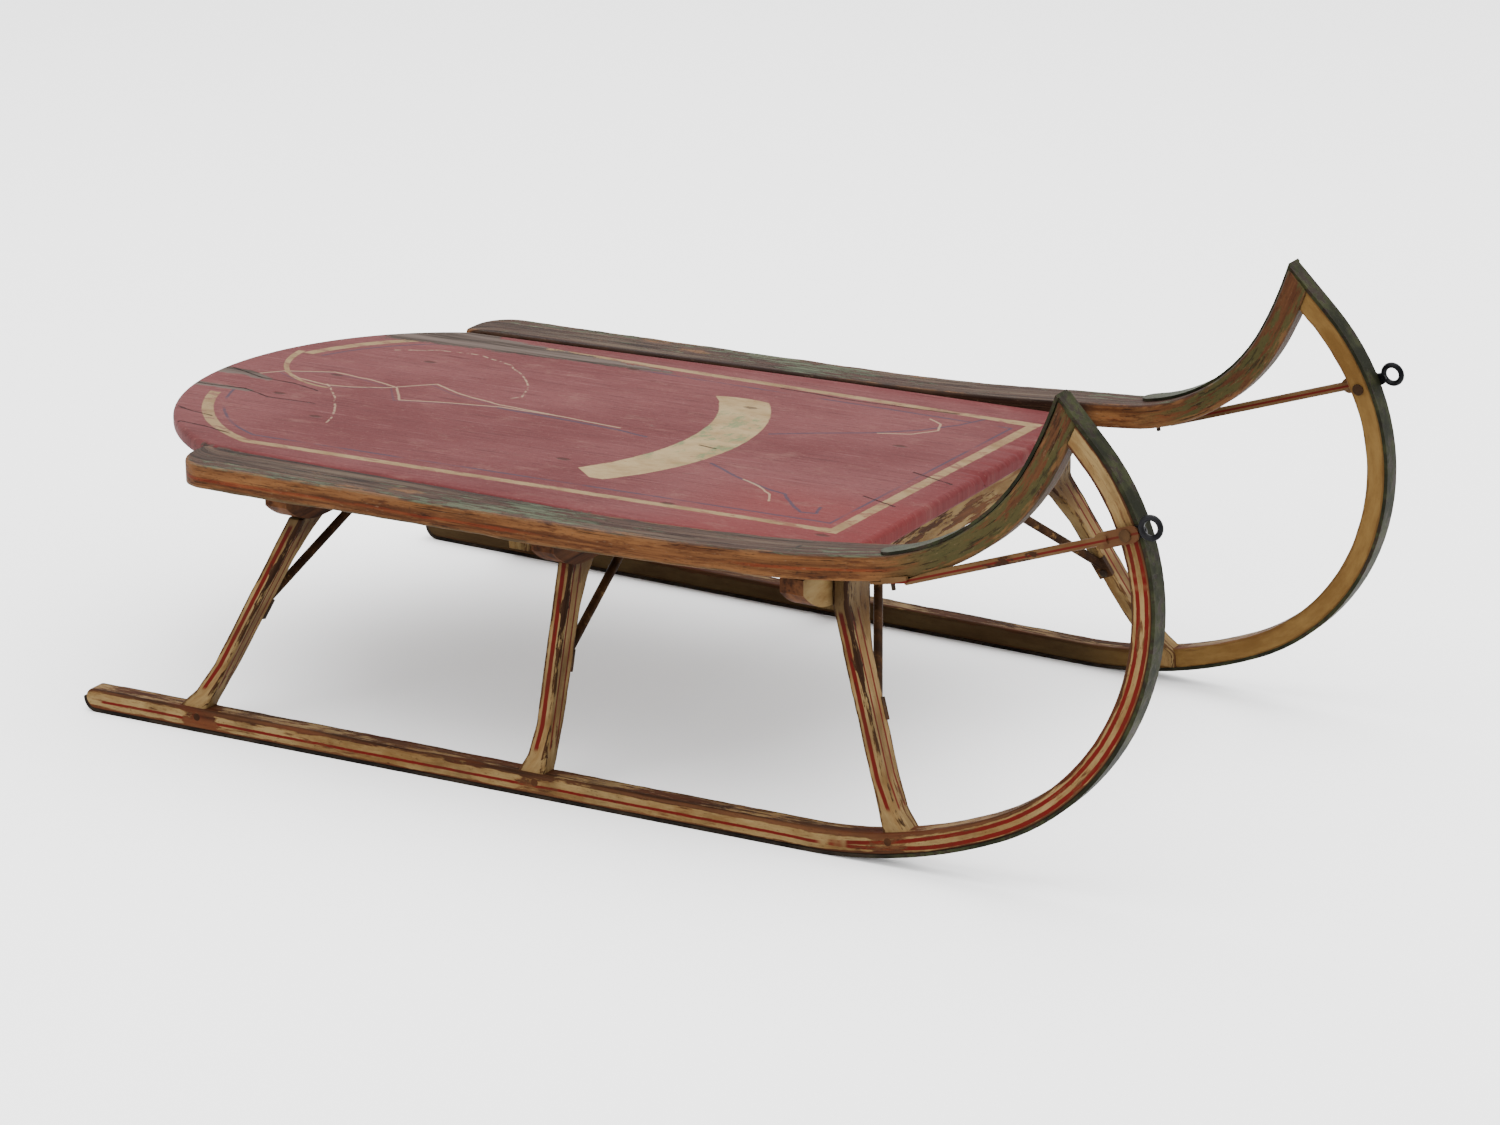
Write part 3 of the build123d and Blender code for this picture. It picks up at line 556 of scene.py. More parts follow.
# The board's paint is worked out in its plan. Each line, stripe and figure is a mask from a distance,
# and wear, grain, cracks and knots are laid over it.
def deckMaterial():
    c, o = boardColours, ornament
    b = Board("boardPaint")
    place = b.place()
    x, y, z = b.split(place)
    u = x - rearX
    wobble = b.noise(place, (60.0, 60.0, 0.0), 3.0) - 0.5
    fineWobble = b.noise(place, (420.0, 420.0, 0.0), 3.0) - 0.5
    plan = b.join(u + wobble * 0.002, y + wobble * 0.0022, 0.0)
    side = abs(y + wobble * 0.0016)
    shift = fineWobble * 0.0012
    behind = (deckCentre - u).most(0.0)
    fromRear = deckRadius - (behind * behind + y * y) ** 0.5 + wobble * 0.0015

    # the wide stripe keeps one distance from a frame made of side lines, front line and rear circle
    far = y.rise(-0.01, 0.01)
    nearLine = o["sideLine"] - u * o["sideLean"]
    farLine = o["farLine"] - u * o["farLean"]
    sideAway = nearLine + (farLine - nearLine) * far - side
    frontAway = y * o["frontLean"] + o["frontLine"] - u + wobble * 0.001
    rearAway = fromRear - o["rearInset"]
    inner = sideAway.least(frontAway).least(rearAway)
    wider = (0.085 - u).rise(0.0, 0.06).most((u - 0.600).rise(0.0, 0.006))
    half = (wider * (o["rearWidth"] - o["width"]) + o["width"]) / 2
    stripe = (abs(inner) + shift - half).rise(0.0005, -0.0005)
    # behind, the stripe stops near the middle and on the far side curls inwards
    fromRight, fromLeft = y - o["breakRight"], y - o["breakLeft"]
    nearRear = u.rise(0.004, -0.004) * fromRight.rise(-0.004, 0.004) * fromLeft.rise(0.004, -0.004)
    midRear = (fromRight + 0.0015).rise(0.0, 0.001) * fromLeft.rise(0.0, -0.001)
    midRear = midRear * (u - 0.05).rise(0.0, -0.001)
    stripe = stripe * (1.0 - nearRear.most(midRear))
    cx, cy = o["curlCentre"]
    curlAway = ((u - cx) * (u - cx) + (y - cy) * (y - cy)) ** 0.5 - o["curlRadius"]
    curlWidth = (y - 0.075) * 0.028 + 0.0036
    curlHere = (y - 0.070).rise(0.002, -0.002) * (y + 0.012).rise(-0.001, 0.001)
    curl = (abs(curlAway) - curlWidth.most(0.0011)).rise(0.0004, -0.0004) * curlHere
    curl = curl * (u - 0.072).rise(0.002, -0.002)
    stripe = stripe.most(curl)

    thinInner = (sideAway - o["thinGap"]).least(y * o["frontLean"] + o["thinFront"] - u)
    thinInner = thinInner.least(fromRear - o["thinRear"])
    thin = (abs(thinInner) + shift).rise(o["thinWidth"] / 2 + 0.0006, o["thinWidth"] / 2 - 0.0003)
    thin = thin * (1.0 - midRear * (y + 0.045).rise(-0.001, 0.001))
    thin = thin * b.noise(place, (22.0, 22.0, 22.0), 4.0).rise(0.33, 0.55)

    cream = anyOf((b.awayFrom(plan, line) + shift).rise(0.0013, 0.0005) for line in o["scrolls"] + o["hooks"])
    faint = anyOf((b.awayFrom(plan, line) + shift).rise(0.0012, 0.0004) for line in o["faint"])
    faint = faint * b.noise(place, (160.0, 160.0, 0.0), 4.0).rise(0.42, 0.56) * 0.75
    for line in (o["thinFar"], o["thinNear"], o["thinMiddle"]):
        thin = thin.most((b.awayFrom(plan, line) + shift).rise(0.0017, 0.0008))
    doubled = b.join(u + 0.0035, y + 0.0035, 0.0)
    for line in o["scrolls"]:
        thin = thin.most(b.awayFrom(doubled, line).rise(0.0013, 0.0004) * 0.5)

    # the crescent lies between two circles and is cut off slantwise at its near end
    ox, oy, outerR = o["bannerOuter"]
    ix, iy, innerR = o["bannerInner"]
    ragged = wobble * 0.003 + shift
    inOuter = outerR - ((u - ox) * (u - ox) + (y - oy) * (y - oy)) ** 0.5 + ragged
    outInner = ((u - ix) * (u - ix) + (y - iy) * (y - iy)) ** 0.5 - innerR + ragged
    cutX, cutY = o["bannerCut"]
    nearCut = ((u - cutX) * 0.638 + (y - cutY) * 0.77).least(y - o["bannerNear"])
    farCut = o["bannerFar"] - y - (u - o["bannerBend"]) * (u - o["bannerBend"]) * 6.0
    banner = inOuter.least(outInner).least(nearCut).least(farCut).rise(-0.0006, 0.0006)

    # paints
    cloud = b.noise(place, (5.0, 9.0, 1.0), 5.0, 0.6)
    streak = b.noise(place, (17.0, 420.0, 1.0), 8.0, 0.7)
    red = b.blend(cloud.rise(0.3, 0.7), c["redDeep"], c["redPale"])
    red = b.blend(streak.rise(0.50, 0.72) * 0.75, red, c["streakDark"])
    red = b.blend(streak.rise(0.46, 0.30) * 0.5, red, c["streakLight"])
    # fresher and deeper red near the front edge and along the sides
    forward = (u - 0.60).rise(0.0, 0.045)
    outer = (side - 0.168).rise(0.0, 0.012)
    red = b.blend(forward.most(outer * 0.5) * 0.55, red, c["freshRed"])
    warm = (u - 0.53).rise(-0.08, 0.02) * (y + 0.09).rise(0.05, -0.02)
    red = b.blend(warm * 0.45, red, c["warmRed"])
    dusty = b.noise(place, (26.0, 60.0, 1.0), 8.0, 0.7)
    red = b.blend(dusty.rise(0.52, 0.74) * 0.5, red, c["dust"])
    speck = b.noise(place, (260.0, 700.0, 1.0), 4.0, 0.7)
    red = b.blend(speck.rise(0.56, 0.66) * 0.4, red, c["speckDark"])
    red = b.blend(speck.rise(0.40, 0.32) * 0.35, red, c["speckLight"])
    colour = b.blend(thin * 0.8, red, c["thinLine"])
    creamTone = b.blend(dusty.rise(0.35, 0.7), c["stripeLight"], c["stripeDark"])
    colour = b.blend(faint, colour, c["faintLine"])
    colour = b.blend(cream * 0.85, colour, c["scroll"])
    stripeWear = b.noise(place, (45.0, 120.0, 1.0), 8.0, 0.7).rise(0.53, 0.60)
    colour = b.blend(stripe * (1.0 - stripeWear * 0.6), colour, creamTone)
    greenish = b.noise(place, (70.0, 55.0, 1.0), 6.0, 0.7).rise(0.50, 0.62)
    middleBanner = abs(y - 0.012).rise(0.085, 0.05)
    bannerTone = b.blend(dusty.rise(0.35, 0.7), c["bannerLight"], c["bannerDark"])
    bannerTone = b.blend(greenish * middleBanner * 0.85, bannerTone, c["bannerGreen"])
    rust = b.noise(place, (50.0, 90.0, 1.0), 7.0, 0.7).rise(0.60, 0.66)
    bannerTone = b.blend(rust * 0.5, bannerTone, c["bannerRust"])
    colour = b.blend(banner, colour, bannerTone)

    # bare grey wood: a long patch along the far rear edge, and streaks at the rear end
    patchLow = y - (o["patchLow"] + (u - 0.05) * 0.055)
    patchHigh = o["patchHigh"] - (u - 0.12).most(0.0) * 0.13 - y
    patch = patchLow.least(patchHigh + (0.12 - u).most(0.0))
    patch = patch.least((o["patchTo"] - u) * 0.3).least((u - o["patchFrom"]) * 0.4)
    bare = (patch + wobble * 0.012 + fineWobble * 0.008 + (streak - 0.5) * 0.02).rise(-0.001, 0.0012)
    rearGrey = b.awayFrom(plan, ((-0.045, -0.004), (-0.012, -0.002), (0.016, -0.010)))
    bare = bare.most((rearGrey - wobble * 0.008 - (0.012 - u) * 0.10).rise(0.0045, 0.003))
    rearGrey = b.awayFrom(plan, ((-0.045, -0.045), (-0.004, -0.043), (0.020, -0.043)))
    bare = bare.most((rearGrey - wobble * 0.006 - (0.012 - u) * 0.05).rise(0.0035, 0.002))
    rubbed = chips(b, place, -0.09, (60.0, 190.0, 1.0), 0.02)
    rimWear = b.attribute("edge", "Fac").rise(0.006, 0.0005)
    rimChips = chips(b, place, rimWear * 0.13 - 0.08, (90.0, 150.0, 90.0), 0.02)
    bare = bare.most(rubbed * 0.55).most(rimChips * rimWear * (u - 0.61).rise(0.01, -0.01))
    wood, grain = bareWood(b, place, c["greyWood"], (16.0, 330.0, 100.0))
    colour = b.blend(bare, colour, wood)

    # cracks and knots are dark, the cracks run with the grain
    wavy = b.join(u, y + (streak - 0.5) * 0.004, 0.0)
    crack = anyOf(b.awayFrom(wavy, line).rise(0.0011, 0.0003) for line in o["cracks"])
    hair = b.noise(place, (13.0, 520.0, 1.0), 3.0, 0.5)
    hairHere = b.noise(place, (8.0, 18.0, 1.0), 3.0).rise(0.5, 0.68)
    hairline = hair.rise(0.705, 0.74) * hairHere
    # a knot is an oval, longer along the grain
    spots = []
    for kx, ky in o["knots"]:
        dx, dy = (u - kx) * 0.55, (y - ky) * 1.25
        away = (dx * dx + dy * dy) ** 0.5 + fineWobble * 0.003
        spots.append(away.rise(0.0042, 0.0022))
    knot = anyOf(spots)
    dark = crack.most(hairline * 0.8)
    colour = b.blend(knot * 0.7, colour, c["knot"])
    colour = b.blend(dark * 0.85, colour, c["crack"])

    # fine light scratches across the grain
    turned = b.join(u * 0.8 + y * 0.6, y * 0.8 - u * 0.6, 0.0)
    scratch = b.noise(turned, (24.0, 900.0, 1.0), 2.0, 0.5).rise(0.735, 0.77)
    scratch = scratch * b.noise(place, (11.0, 11.0, 1.0), 2.0).rise(0.52, 0.62)
    colour = b.blend(scratch * 0.5, colour, c["scratch"])

    # the underside is bare brown wood
    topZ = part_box("deck")[1].z
    below = (z - (u - deckValues["front"]) * math.tan(deckValues["pitch"])).rise(topZ - 0.0085, topZ - 0.0095)
    plain = bareWood(b, place, c["underWood"], (10.0, 170.0, 60.0))[0]
    colour = b.blend(below * (1.0 - rimWear), colour, plain)
    height = (streak * 0.10 + dusty * 0.12 - bare * 0.35 - dark * 1.0 - knot * 0.35
              + (stripe + banner) * 0.06 + grain * bare * 0.3)
    rough = dusty * 0.18 + bare * 0.12 + 0.50
    return b.finish(colour, rough, height, 0.0011, strength=0.9)


railValues = {
    "start": (0.07881, 0.21067), "pitch": 0.6, "straight": 0.358,
    "bends": ((2.5, 5.7), (0.150, 55.7), (0.320, 9.6)), "past": 0.03, "depth": 0.019,
    "outer": 0.228, "rearWidth": 0.046, "width": 0.036, "tipWidth": 0.017, "taperEnd": 0.440,
    "tipStart": 0.640, "rearRadius": 0.028, "beams": (0.1705, 0.4105, 0.6215), "stop": 0.034,
    # eased over these half lengths: the outer and inner side's turn to the tip, the taper's end
    "outerEase": 0.0176, "innerEase": 0.0123, "taperEase": 0.0125, "tipPast": 0.040,
    # corners: their radius, and how much it varies slowly and quickly along the rail
    "corner": 0.0022, "cornerSlow": 0.0007, "cornerQuick": 0.0005, "cornerLeast": 0.0008,
    "cornerMost": 0.0065, "planed": 0.0026, "planedRun": 0.014, "frontWear": 0.0012,
    "frontWearFrom": 0.68, "frontWearRun": 0.05, "ripple": 0.0004, "ripplePitch": 0.02,
    # distances of the first rings from the rear end, in millimetres, and of the others from each other
    "rearRings": (0, 0.4, 1.2, 2.5, 4, 6, 9, 12, 16, 20), "spacing": 0.0034,
    # the share of the track beyond which the rings are stretched to end on the runner's line
    "endShare": 0.86,
}
runnerValues = {
    "ground": 0.0027, "flat": 0.634, "bends": ((0.380, 24.5), (0.186, 65.5), (0.173, 44.0)),
    "tip": 0.043, "depth": 0.0155, "width": 0.017, "halfTrack": 0.240, "toeIn": math.radians(1.5),
    "splay": math.radians(4.4), "rearRound": 0.009, "topRound": 0.005, "endRun": 0.05,
    "corner": 0.0017, "cornerSlow": 0.0006, "cornerQuick": 0.0006, "cornerLeast": 0.0005,
    "cornerMost": 0.004, "topWear": 0.0009, "lowShare": 0.55,
    "rearRings": (0, 0.3, 1, 2, 3.5, 5, 7, 9, 12), "spacing": 0.0036,
    # painted lines: height over the sole, how far the bend parts them, and where they start and end
    "line": 0.0066, "lineDrop": 0.0031, "lineRise": 0.0035, "lineFrom": 0.012, "lineTo": 1.073,
    "partFrom": 0.60, "secondFrom": 0.64, "outside": -0.0074, "inside": 0.0070,
}
railTrack = trackOf(railValues["start"], railValues["pitch"],
                    ((railValues["straight"],),) + railValues["bends"] + ((railValues["past"],),))
runnerTrack = trackOf((0.0, runnerValues["ground"]), 0.0,
                      ((runnerValues["flat"],),) + runnerValues["bends"] + ((runnerValues["tip"],),))
tipX, tipZ = runnerTrack["x"][-1], runnerTrack["z"][-1]


# distance of the right runner's middle plane from the sled's middle, negative to the right
def runnerMiddle(x, z):
    v = runnerValues
    return -v["halfTrack"] + x * math.tan(v["toeIn"]) + z * math.tan(v["splay"])


# 0 before a corner, its slope after it, with a round part of half length w between
def easedRamp(x, w):
    return np.where(x < -w, 0.0, np.where(x > w, x, (x + w) ** 2 / (4 * w)))


# The rail's outer and inner side at x. The outer side is straight with a round rear corner, the inner
# one narrows forwards, and from tipStart on both turn to the middle plane of the runner's tip.
def railLimits(x):
    v = railValues
    middle = v["width"] / 2 - v["outer"]
    slope = (runnerMiddle(tipX, tipZ) - middle) / (tipX - v["tipStart"])
    past = v["tipPast"]
    endMiddle = runnerMiddle(tipX, tipZ) + slope * past
    run = tipX + past - v["tipStart"]
    outSlope = (endMiddle - v["tipWidth"] / 2 + v["outer"]) / run
    inSlope = (endMiddle + v["tipWidth"] / 2 + v["outer"] - v["width"]) / run
    outer = -v["outer"] + outSlope * easedRamp(x - v["tipStart"], v["outerEase"])
    r = v["rearRadius"]
    behind = np.clip(v["start"][0] + r - x, 0, r)
    outer = outer + r - np.sqrt(r * r - behind ** 2)
    rearSlope = (v["rearWidth"] - v["width"]) / (v["taperEnd"] - v["start"][0])
    inner = (v["rearWidth"] - v["outer"] - rearSlope * (x - v["start"][0])
             + rearSlope * easedRamp(x - v["taperEnd"], v["taperEase"])
             + inSlope * easedRamp(x - v["tipStart"], v["innerEase"]))
    return outer, inner


# The rail ends on the line of the runner's outer side. For every depth, the distance along the track
# is found where the point first crosses that line.
def railEnds(depths):
    angle = runnerTrack["angle"][-1]
    ends = []
    for depth in depths:
        x, z = onTrack(railTrack, railTrack["s"], -depth)
        over = (x - tipX) * math.sin(angle) - (z - tipZ) * math.cos(angle)
        crossed = np.nonzero(over > 0)[0]
        crossed = crossed[crossed > len(over) * 0.6]
        ends.append(railTrack["s"][crossed[0]] if len(crossed) else railTrack["length"])
    return np.array(ends)


# radii of the four corners along a bar: the value with a slow and a quick wander of its own each
def cornersOf(v, stations, slowPitch, quickPitch):
    return np.stack([v["corner"] + v["cornerSlow"] * wander(stations, slowPitch)
                     + v["cornerQuick"] * wander(stations, quickPitch) for _ in range(4)], 1)


# distances beyond start are stretched so that the last one, whole, falls on end
def endedAt(s, end, start, whole):
    return np.where(s > start, start + (s - start) * (end - start) / (whole - start), s)


# how far a quarter circle of radius r lies inside its corner at distance s from the end
def roundedOff(s, r):
    return r - np.sqrt(r ** 2 - np.clip(r - s, 0, r) ** 2)


# A rail is a bar along its track, with every ring's depth measured down from the upper side.
def buildRail(side, material):
    v = railValues
    depthTable = np.linspace(0, v["depth"], 12)
    endTable = railEnds(depthTable)
    endStart = railTrack["length"] * v["endShare"]
    whole = endTable.max()
    stations = np.concatenate([np.array(v["rearRings"]) / 1000, np.arange(0.024, whole - 0.001, v["spacing"]),
                               [whole]])
    x0 = onTrack(railTrack, stations, 0)[0]
    radii = cornersOf(v, stations, 0.03, 0.008)
    # the lower outer edge is planed off between the crossbeams
    for low, high in zip(v["beams"][:-1], v["beams"][1:]):
        behind = np.clip((x0 - low - v["stop"]) / v["planedRun"], 0, 1)
        before = np.clip((high - v["stop"] - x0) / v["planedRun"], 0, 1)
        radii[:, 2] += behind * before * v["planed"]
    front = np.clip((x0 - v["frontWearFrom"]) / v["frontWearRun"], 0, 1)
    radii[:, 2:] += front[:, None] * v["frontWear"]
    radii = np.clip(radii, v["cornerLeast"], v["cornerMost"])
    ripple = v["ripple"] * wander(stations, v["ripplePitch"])[:, None]

    # corners run inner top, outer top, outer bottom, inner bottom
    def place(s, across, deep):
        q = deep(v["depth"] / 2)
        depth = v["depth"] / 2 - q
        along = endedAt(s, np.interp(depth, depthTable, endTable), endStart, whole)
        x, z = onTrack(railTrack, along, -depth)
        outer, inner = railLimits(x)
        half = (inner - outer) / 2
        p = across(half)
        y = (outer + inner) / 2 + p + np.where(p < 0, np.abs(ripple), 0.0)
        points = np.stack([x + rearX, -side * y, z], -1)
        return points, np.stack([along, p, q], -1), half

    # the ring's plus side is the inner one; for the left rail everything is mirrored
    node = onSide("rail", side)
    rail = barOf(pieceName(node), stations, radii, ringOf(10, 8), place, side > 0)
    finishPiece(rail, node, material)


# The runner's inner end stops under the rail, whose underside there is part of a circle.
def runnerEnds(depths):
    v = railValues
    start = railTrack["length"] - v["past"] - v["bends"][2][0] * math.radians(v["bends"][2][1])
    angle = np.interp(start, railTrack["s"], railTrack["angle"])
    x0, z0 = onTrack(railTrack, start, 0)
    radius = v["bends"][2][0]
    cx, cz = x0 - math.sin(angle) * radius, z0 + math.cos(angle) * radius
    ends = []
    for depth in depths:
        x, z = onTrack(runnerTrack, runnerTrack["s"], depth)
        under = np.hypot(x - cx, z - cz) - radius - v["depth"]
        late = np.nonzero((under < 0) & (runnerTrack["s"] > runnerTrack["length"] * 0.9))[0]
        ends.append(runnerTrack["s"][late[0]] if len(late) else runnerTrack["length"])
    return np.array(ends)


# A runner is a bar along its track on the ground, with depth measured up from its sole. Its rear end
# is rounded by quarter circles above and below.
def buildRunner(side, material):
    v = runnerValues
    depthTable = np.linspace(0, v["depth"], 12)
    endTable = runnerEnds(depthTable)
    whole = endTable.max()
    endStart = whole - v["endRun"]
    stations = np.concatenate([np.array(v["rearRings"]) / 1000, np.arange(0.015, whole - 0.001, v["spacing"]),
                               [whole]])
    radii = cornersOf(v, stations, 0.03, 0.009)
    radii[:, 0:2] += v["topWear"] * np.clip(wander(stations, 0.07), 0, 1)[:, None]
    radii[:, 2:4] *= v["lowShare"]
    radii = np.clip(radii, v["cornerLeast"], v["cornerMost"])

    # ring corners: inner top, outer top, outer bottom, inner bottom; across plus is inboard
    def place(s, across, deep):
        lift, topRound = roundedOff(s, v["rearRound"]), roundedOff(s, v["topRound"])
        share = 0.5 + deep(v["depth"] / 2) / v["depth"]
        depth = lift + share * (v["depth"] - lift - topRound)
        along = endedAt(s, np.interp(depth, depthTable, endTable), endStart, whole)
        x, z = onTrack(runnerTrack, along, depth)
        p = across(v["width"] / 2)
        y = runnerMiddle(x, z) + p
        points = np.stack([x + rearX, -side * y, z], -1)
        return points, np.stack([along, p, depth], -1), v["width"] / 2

    node = onSide("runner", side)
    runner = barOf(pieceName(node), stations, radii, ringOf(8, 8), place, side > 0)
    finishPiece(runner, node, material)


postValues = {
    "foot": {"rear": 0.104, "middle": 0.4085, "front": 0.7035},
    "head": {"rear": 0.167, "middle": 0.407, "front": 0.6375},
    "flare": {"rear": -0.012, "middle": -0.010, "front": 0.011},
    "headZ": {"rear": 0.1673, "middle": 0.1692, "front": 0.1708},
    "footZ": {"rear": 0.0182, "middle": 0.0182, "front": 0.0249},
    "thickness": 0.0125, "footWidth": 0.0175, "width": 0.022, "headWidth": 0.037, "inset": 0.0025,
    "headInset": 0.044, "flareHeight": 0.034, "headHeight": 0.036, "cheek": 0.0115,
    "frontTop": 0.2012, "footSpread": 0.0015, "neckSpread": 0.001, "neckShare": 0.45,
    "corner": 0.0022, "cornerSlow": 0.0006, "cornerQuick": 0.0004, "cornerLeast": 0.0008,
    "cornerMost": 0.0038, "rings": 60,
    # painted lines: one on the outer side, two on the front side, between these heights over the foot
    "lineFrom": 0.014, "lineTo": 0.158, "frontLines": (0.0056, 0.0142),
}


# A post is an upright bar. Its middle goes straight from foot to head, its width and flare go straight
# between six levels, and the cheek below its foot follows the runner's side.
def buildPost(name, side, material):
    v, run = postValues, runnerValues
    footZ, headZ = v["footZ"][name], v["headZ"][name]
    footX, headX, flare = v["foot"][name], v["head"][name], v["flare"][name]
    footY = runnerMiddle(footX, footZ) - run["width"] / 2 + v["inset"]
    headY = v["headInset"] - run["halfTrack"] + headX * math.tan(run["toeIn"])
    top = v["frontTop"] if name == "front" else headZ
    bottom = footZ - v["cheek"]
    between = np.linspace(bottom + 0.003, top - 0.001, v["rings"])
    z = np.concatenate([[bottom, bottom + 0.001], between, [top]])
    levels = np.array([footZ, footZ + 0.35 * v["flareHeight"], footZ + v["flareHeight"],
                       headZ - v["headHeight"], headZ - 0.4 * v["headHeight"], headZ])
    neck = v["width"] + v["neckShare"] * (v["headWidth"] - v["width"])
    widths = np.interp(z, levels, [v["footWidth"], v["footWidth"] + v["footSpread"], v["width"],
                                   v["width"] + v["neckSpread"], neck, v["headWidth"]])
    flares = np.interp(z, levels, [flare, 0.35 * flare, 0, 0, 0, 0])
    share = (z - footZ) / (headZ - footZ)
    # under the runner's top the post follows the runner, above it runs straight to its head
    middleX = np.where(share > 0, footX + share * (headX - footX), footX)
    outerY = np.where(share > 0, footY + share * (headY - footY),
                      runnerMiddle(footX, z) - run["width"] / 2 + v["inset"])
    middleX = np.where(share > 1, headX, middleX)
    outerY = np.where(share > 1, headY, outerY)
    middleX = middleX + flares / 2
    halfX = (v["thickness"] + np.abs(flares)) / 2
    radii = np.clip(cornersOf(v, z, 0.02, 0.006), v["cornerLeast"], v["cornerMost"])
    slant = math.hypot(headX - footX, headZ - footZ) / (headZ - footZ)

    # across runs inboard, deep runs forward
    def place(s, across, deep):
        p = across(widths[:, None] / 2)
        q = deep(halfX[:, None])
        x = middleX[:, None] + q
        y = outerY[:, None] + widths[:, None] / 2 + p
        flow = np.stack([(s - footZ) * slant, p + widths[:, None] / 2, q - flares[:, None] / 2], -1)
        return np.stack([x + rearX, -side * y, s], -1), flow, widths[:, None] / 2

    node = onSide("post_" + name, side)
    post = barOf(pieceName(node), z, radii, ringOf(8, 6), place, side < 0)
    finishPiece(post, node, material)


creamColours = {"dark": (142, 106, 62), "light": (182, 152, 102), "stain": (112, 78, 44)}


# the cream paint of runners and posts: clouds from dark to light with long stains
def creamPaint(b, vector):
    c = creamColours
    cloud = b.noise(vector, (18.0, 60.0, 60.0), 6.0, 0.65)
    stain = b.noise(vector, (6.0, 90.0, 90.0), 5.0, 0.7)
    colour = b.blend(cloud.rise(0.32, 0.66), c["dark"], c["light"])
    return b.blend(stain.rise(0.5, 0.72) * 0.55, colour, c["stain"]), cloud


runnerColours = {
    "wood": ((58, 36, 24), (98, 62, 40), (128, 84, 54)), "line": (122, 28, 22), "primer": (120, 74, 44),
    "reddishWood": (112, 48, 28), "grime": (72, 50, 30), "fleck": (52, 34, 22), "seam": (34, 28, 20),
    "innerDark": (128, 92, 46), "innerLight": (156, 120, 66), "innerShade": (46, 33, 22),
}


def runnerMaterial():
    c, v = runnerColours, runnerValues
    b = Board("runnerPaint")
    flow = b.attribute("flow")
    edge = b.attribute("edge", "Fac")
    s, p, t = b.split(flow)
    place = b.place()
    cream, cloud = creamPaint(b, flow)
    wood, grain = bareWood(b, flow, c["wood"], (11.0, 300.0, 300.0))
    outside = p.rise(v["outside"], v["outside"] - 0.0007)
    wave = (b.noise(flow, (26.0, 1.0, 1.0), 3.0) - 0.5) * 0.0012
    # one red line along the flat part; up the bend a second line joins it, and both end at the tab
    ragged = (b.noise(flow, (260.0, 400.0, 400.0), 4.0) - 0.5) * 0.0007
    bend = (s - v["partFrom"]).rise(0.0, 0.16)
    lowLine = v["line"] - bend * v["lineDrop"] + wave
    first = (abs(t - lowLine + ragged) - bend * 0.0005).rise(0.0013, 0.0008)
    second = abs(t - (v["line"] + bend * v["lineRise"]) + wave + ragged).rise(0.0017, 0.0012)
    second = second * (s - v["secondFrom"]).rise(0.0, 0.03)
    stripe = first.most(second) * outside
    stripe = stripe * (s - v["lineTo"]).rise(0.004, 0.0) * (s - v["lineFrom"]).rise(0.0, 0.004)
    breaks = b.noise(flow, (16.0, 1.0, 1.0), 3.0, 0.6).rise(0.36, 0.42)
    painted = b.blend(stripe * breaks, cream, c["line"])

    # wear: the top edge is rubbed along its whole length, the foot of each post has a bare patch
    topWear = (t - 0.0105).rise(0.0, 0.005)
    low = t.rise(0.0026, 0.0004)
    wear = edge.rise(0.0022, 0.0002) * 0.10 + topWear * 0.12 + low * 0.13 - 0.056
    blur = (b.noise(flow, (90.0, 260.0, 260.0), 6.0) - 0.5) * 0.034
    feet = anyOf((abs(s - foot - 0.002) + blur).rise(0.019, 0.011) for foot in postValues["foot"].values())
    wear = wear + feet * 0.115
    inside = (p - v["inside"]).rise(0.0, 0.001)
    wear = wear - inside * 0.05
    chip = chips(b, flow, wear, (62.0, 420.0, 420.0), 0.014)
    primer = chips(b, flow, wear + 0.045, (62.0, 420.0, 420.0), 0.014) - chip
    colour = b.blend(primer.most(0.0) * 0.6, painted, c["primer"])
    reddish = b.noise(flow, (9.0, 60.0, 60.0), 4.0).rise(0.46, 0.66)
    wood = b.blend(reddish * 0.5, wood, c["reddishWood"])
    colour = b.blend(chip, colour, wood)
    # dark line where wood meets iron, grime, and painted shade on the inner side
    seam = t.rise(0.0014, 0.0003)
    grime = b.noise(place, (30.0, 30.0, 30.0), 5.0, 0.6).rise(0.42, 0.72)
    colour = b.blend(grime * 0.38, colour, c["grime"])
    fleck = b.noise(flow, (230.0, 900.0, 900.0), 5.0, 0.7).rise(0.60, 0.66)
    colour = b.blend(fleck * 0.55, colour, c["fleck"])
    colour = b.blend(seam * 0.75, colour, c["seam"])
    inner = b.blend(cloud.rise(0.3, 0.7), c["innerDark"], c["innerLight"])
    # painted shade: the inner side turns dark back from the start of the bend, under the sled
    paintedShade = 1.0 - (s - 0.62).rise(0.0, 0.12)
    inner = b.blend(paintedShade * 0.85, inner, c["innerShade"])
    colour = b.blend(inside * (0.9 - chip * 0.3), colour, inner)
    height = (1.0 - chip) * 0.5 + grain * 0.25 + cloud * 0.15
    return b.finish(colour, chip * 0.14 + 0.50, height, 0.0008, strength=0.8)


postColours = {
    "wood": ((52, 33, 22), (88, 57, 36), (116, 78, 48)), "line": (118, 28, 22), "fleck": (50, 33, 22),
    "grime": (70, 48, 29), "headShade": (56, 36, 24),
}


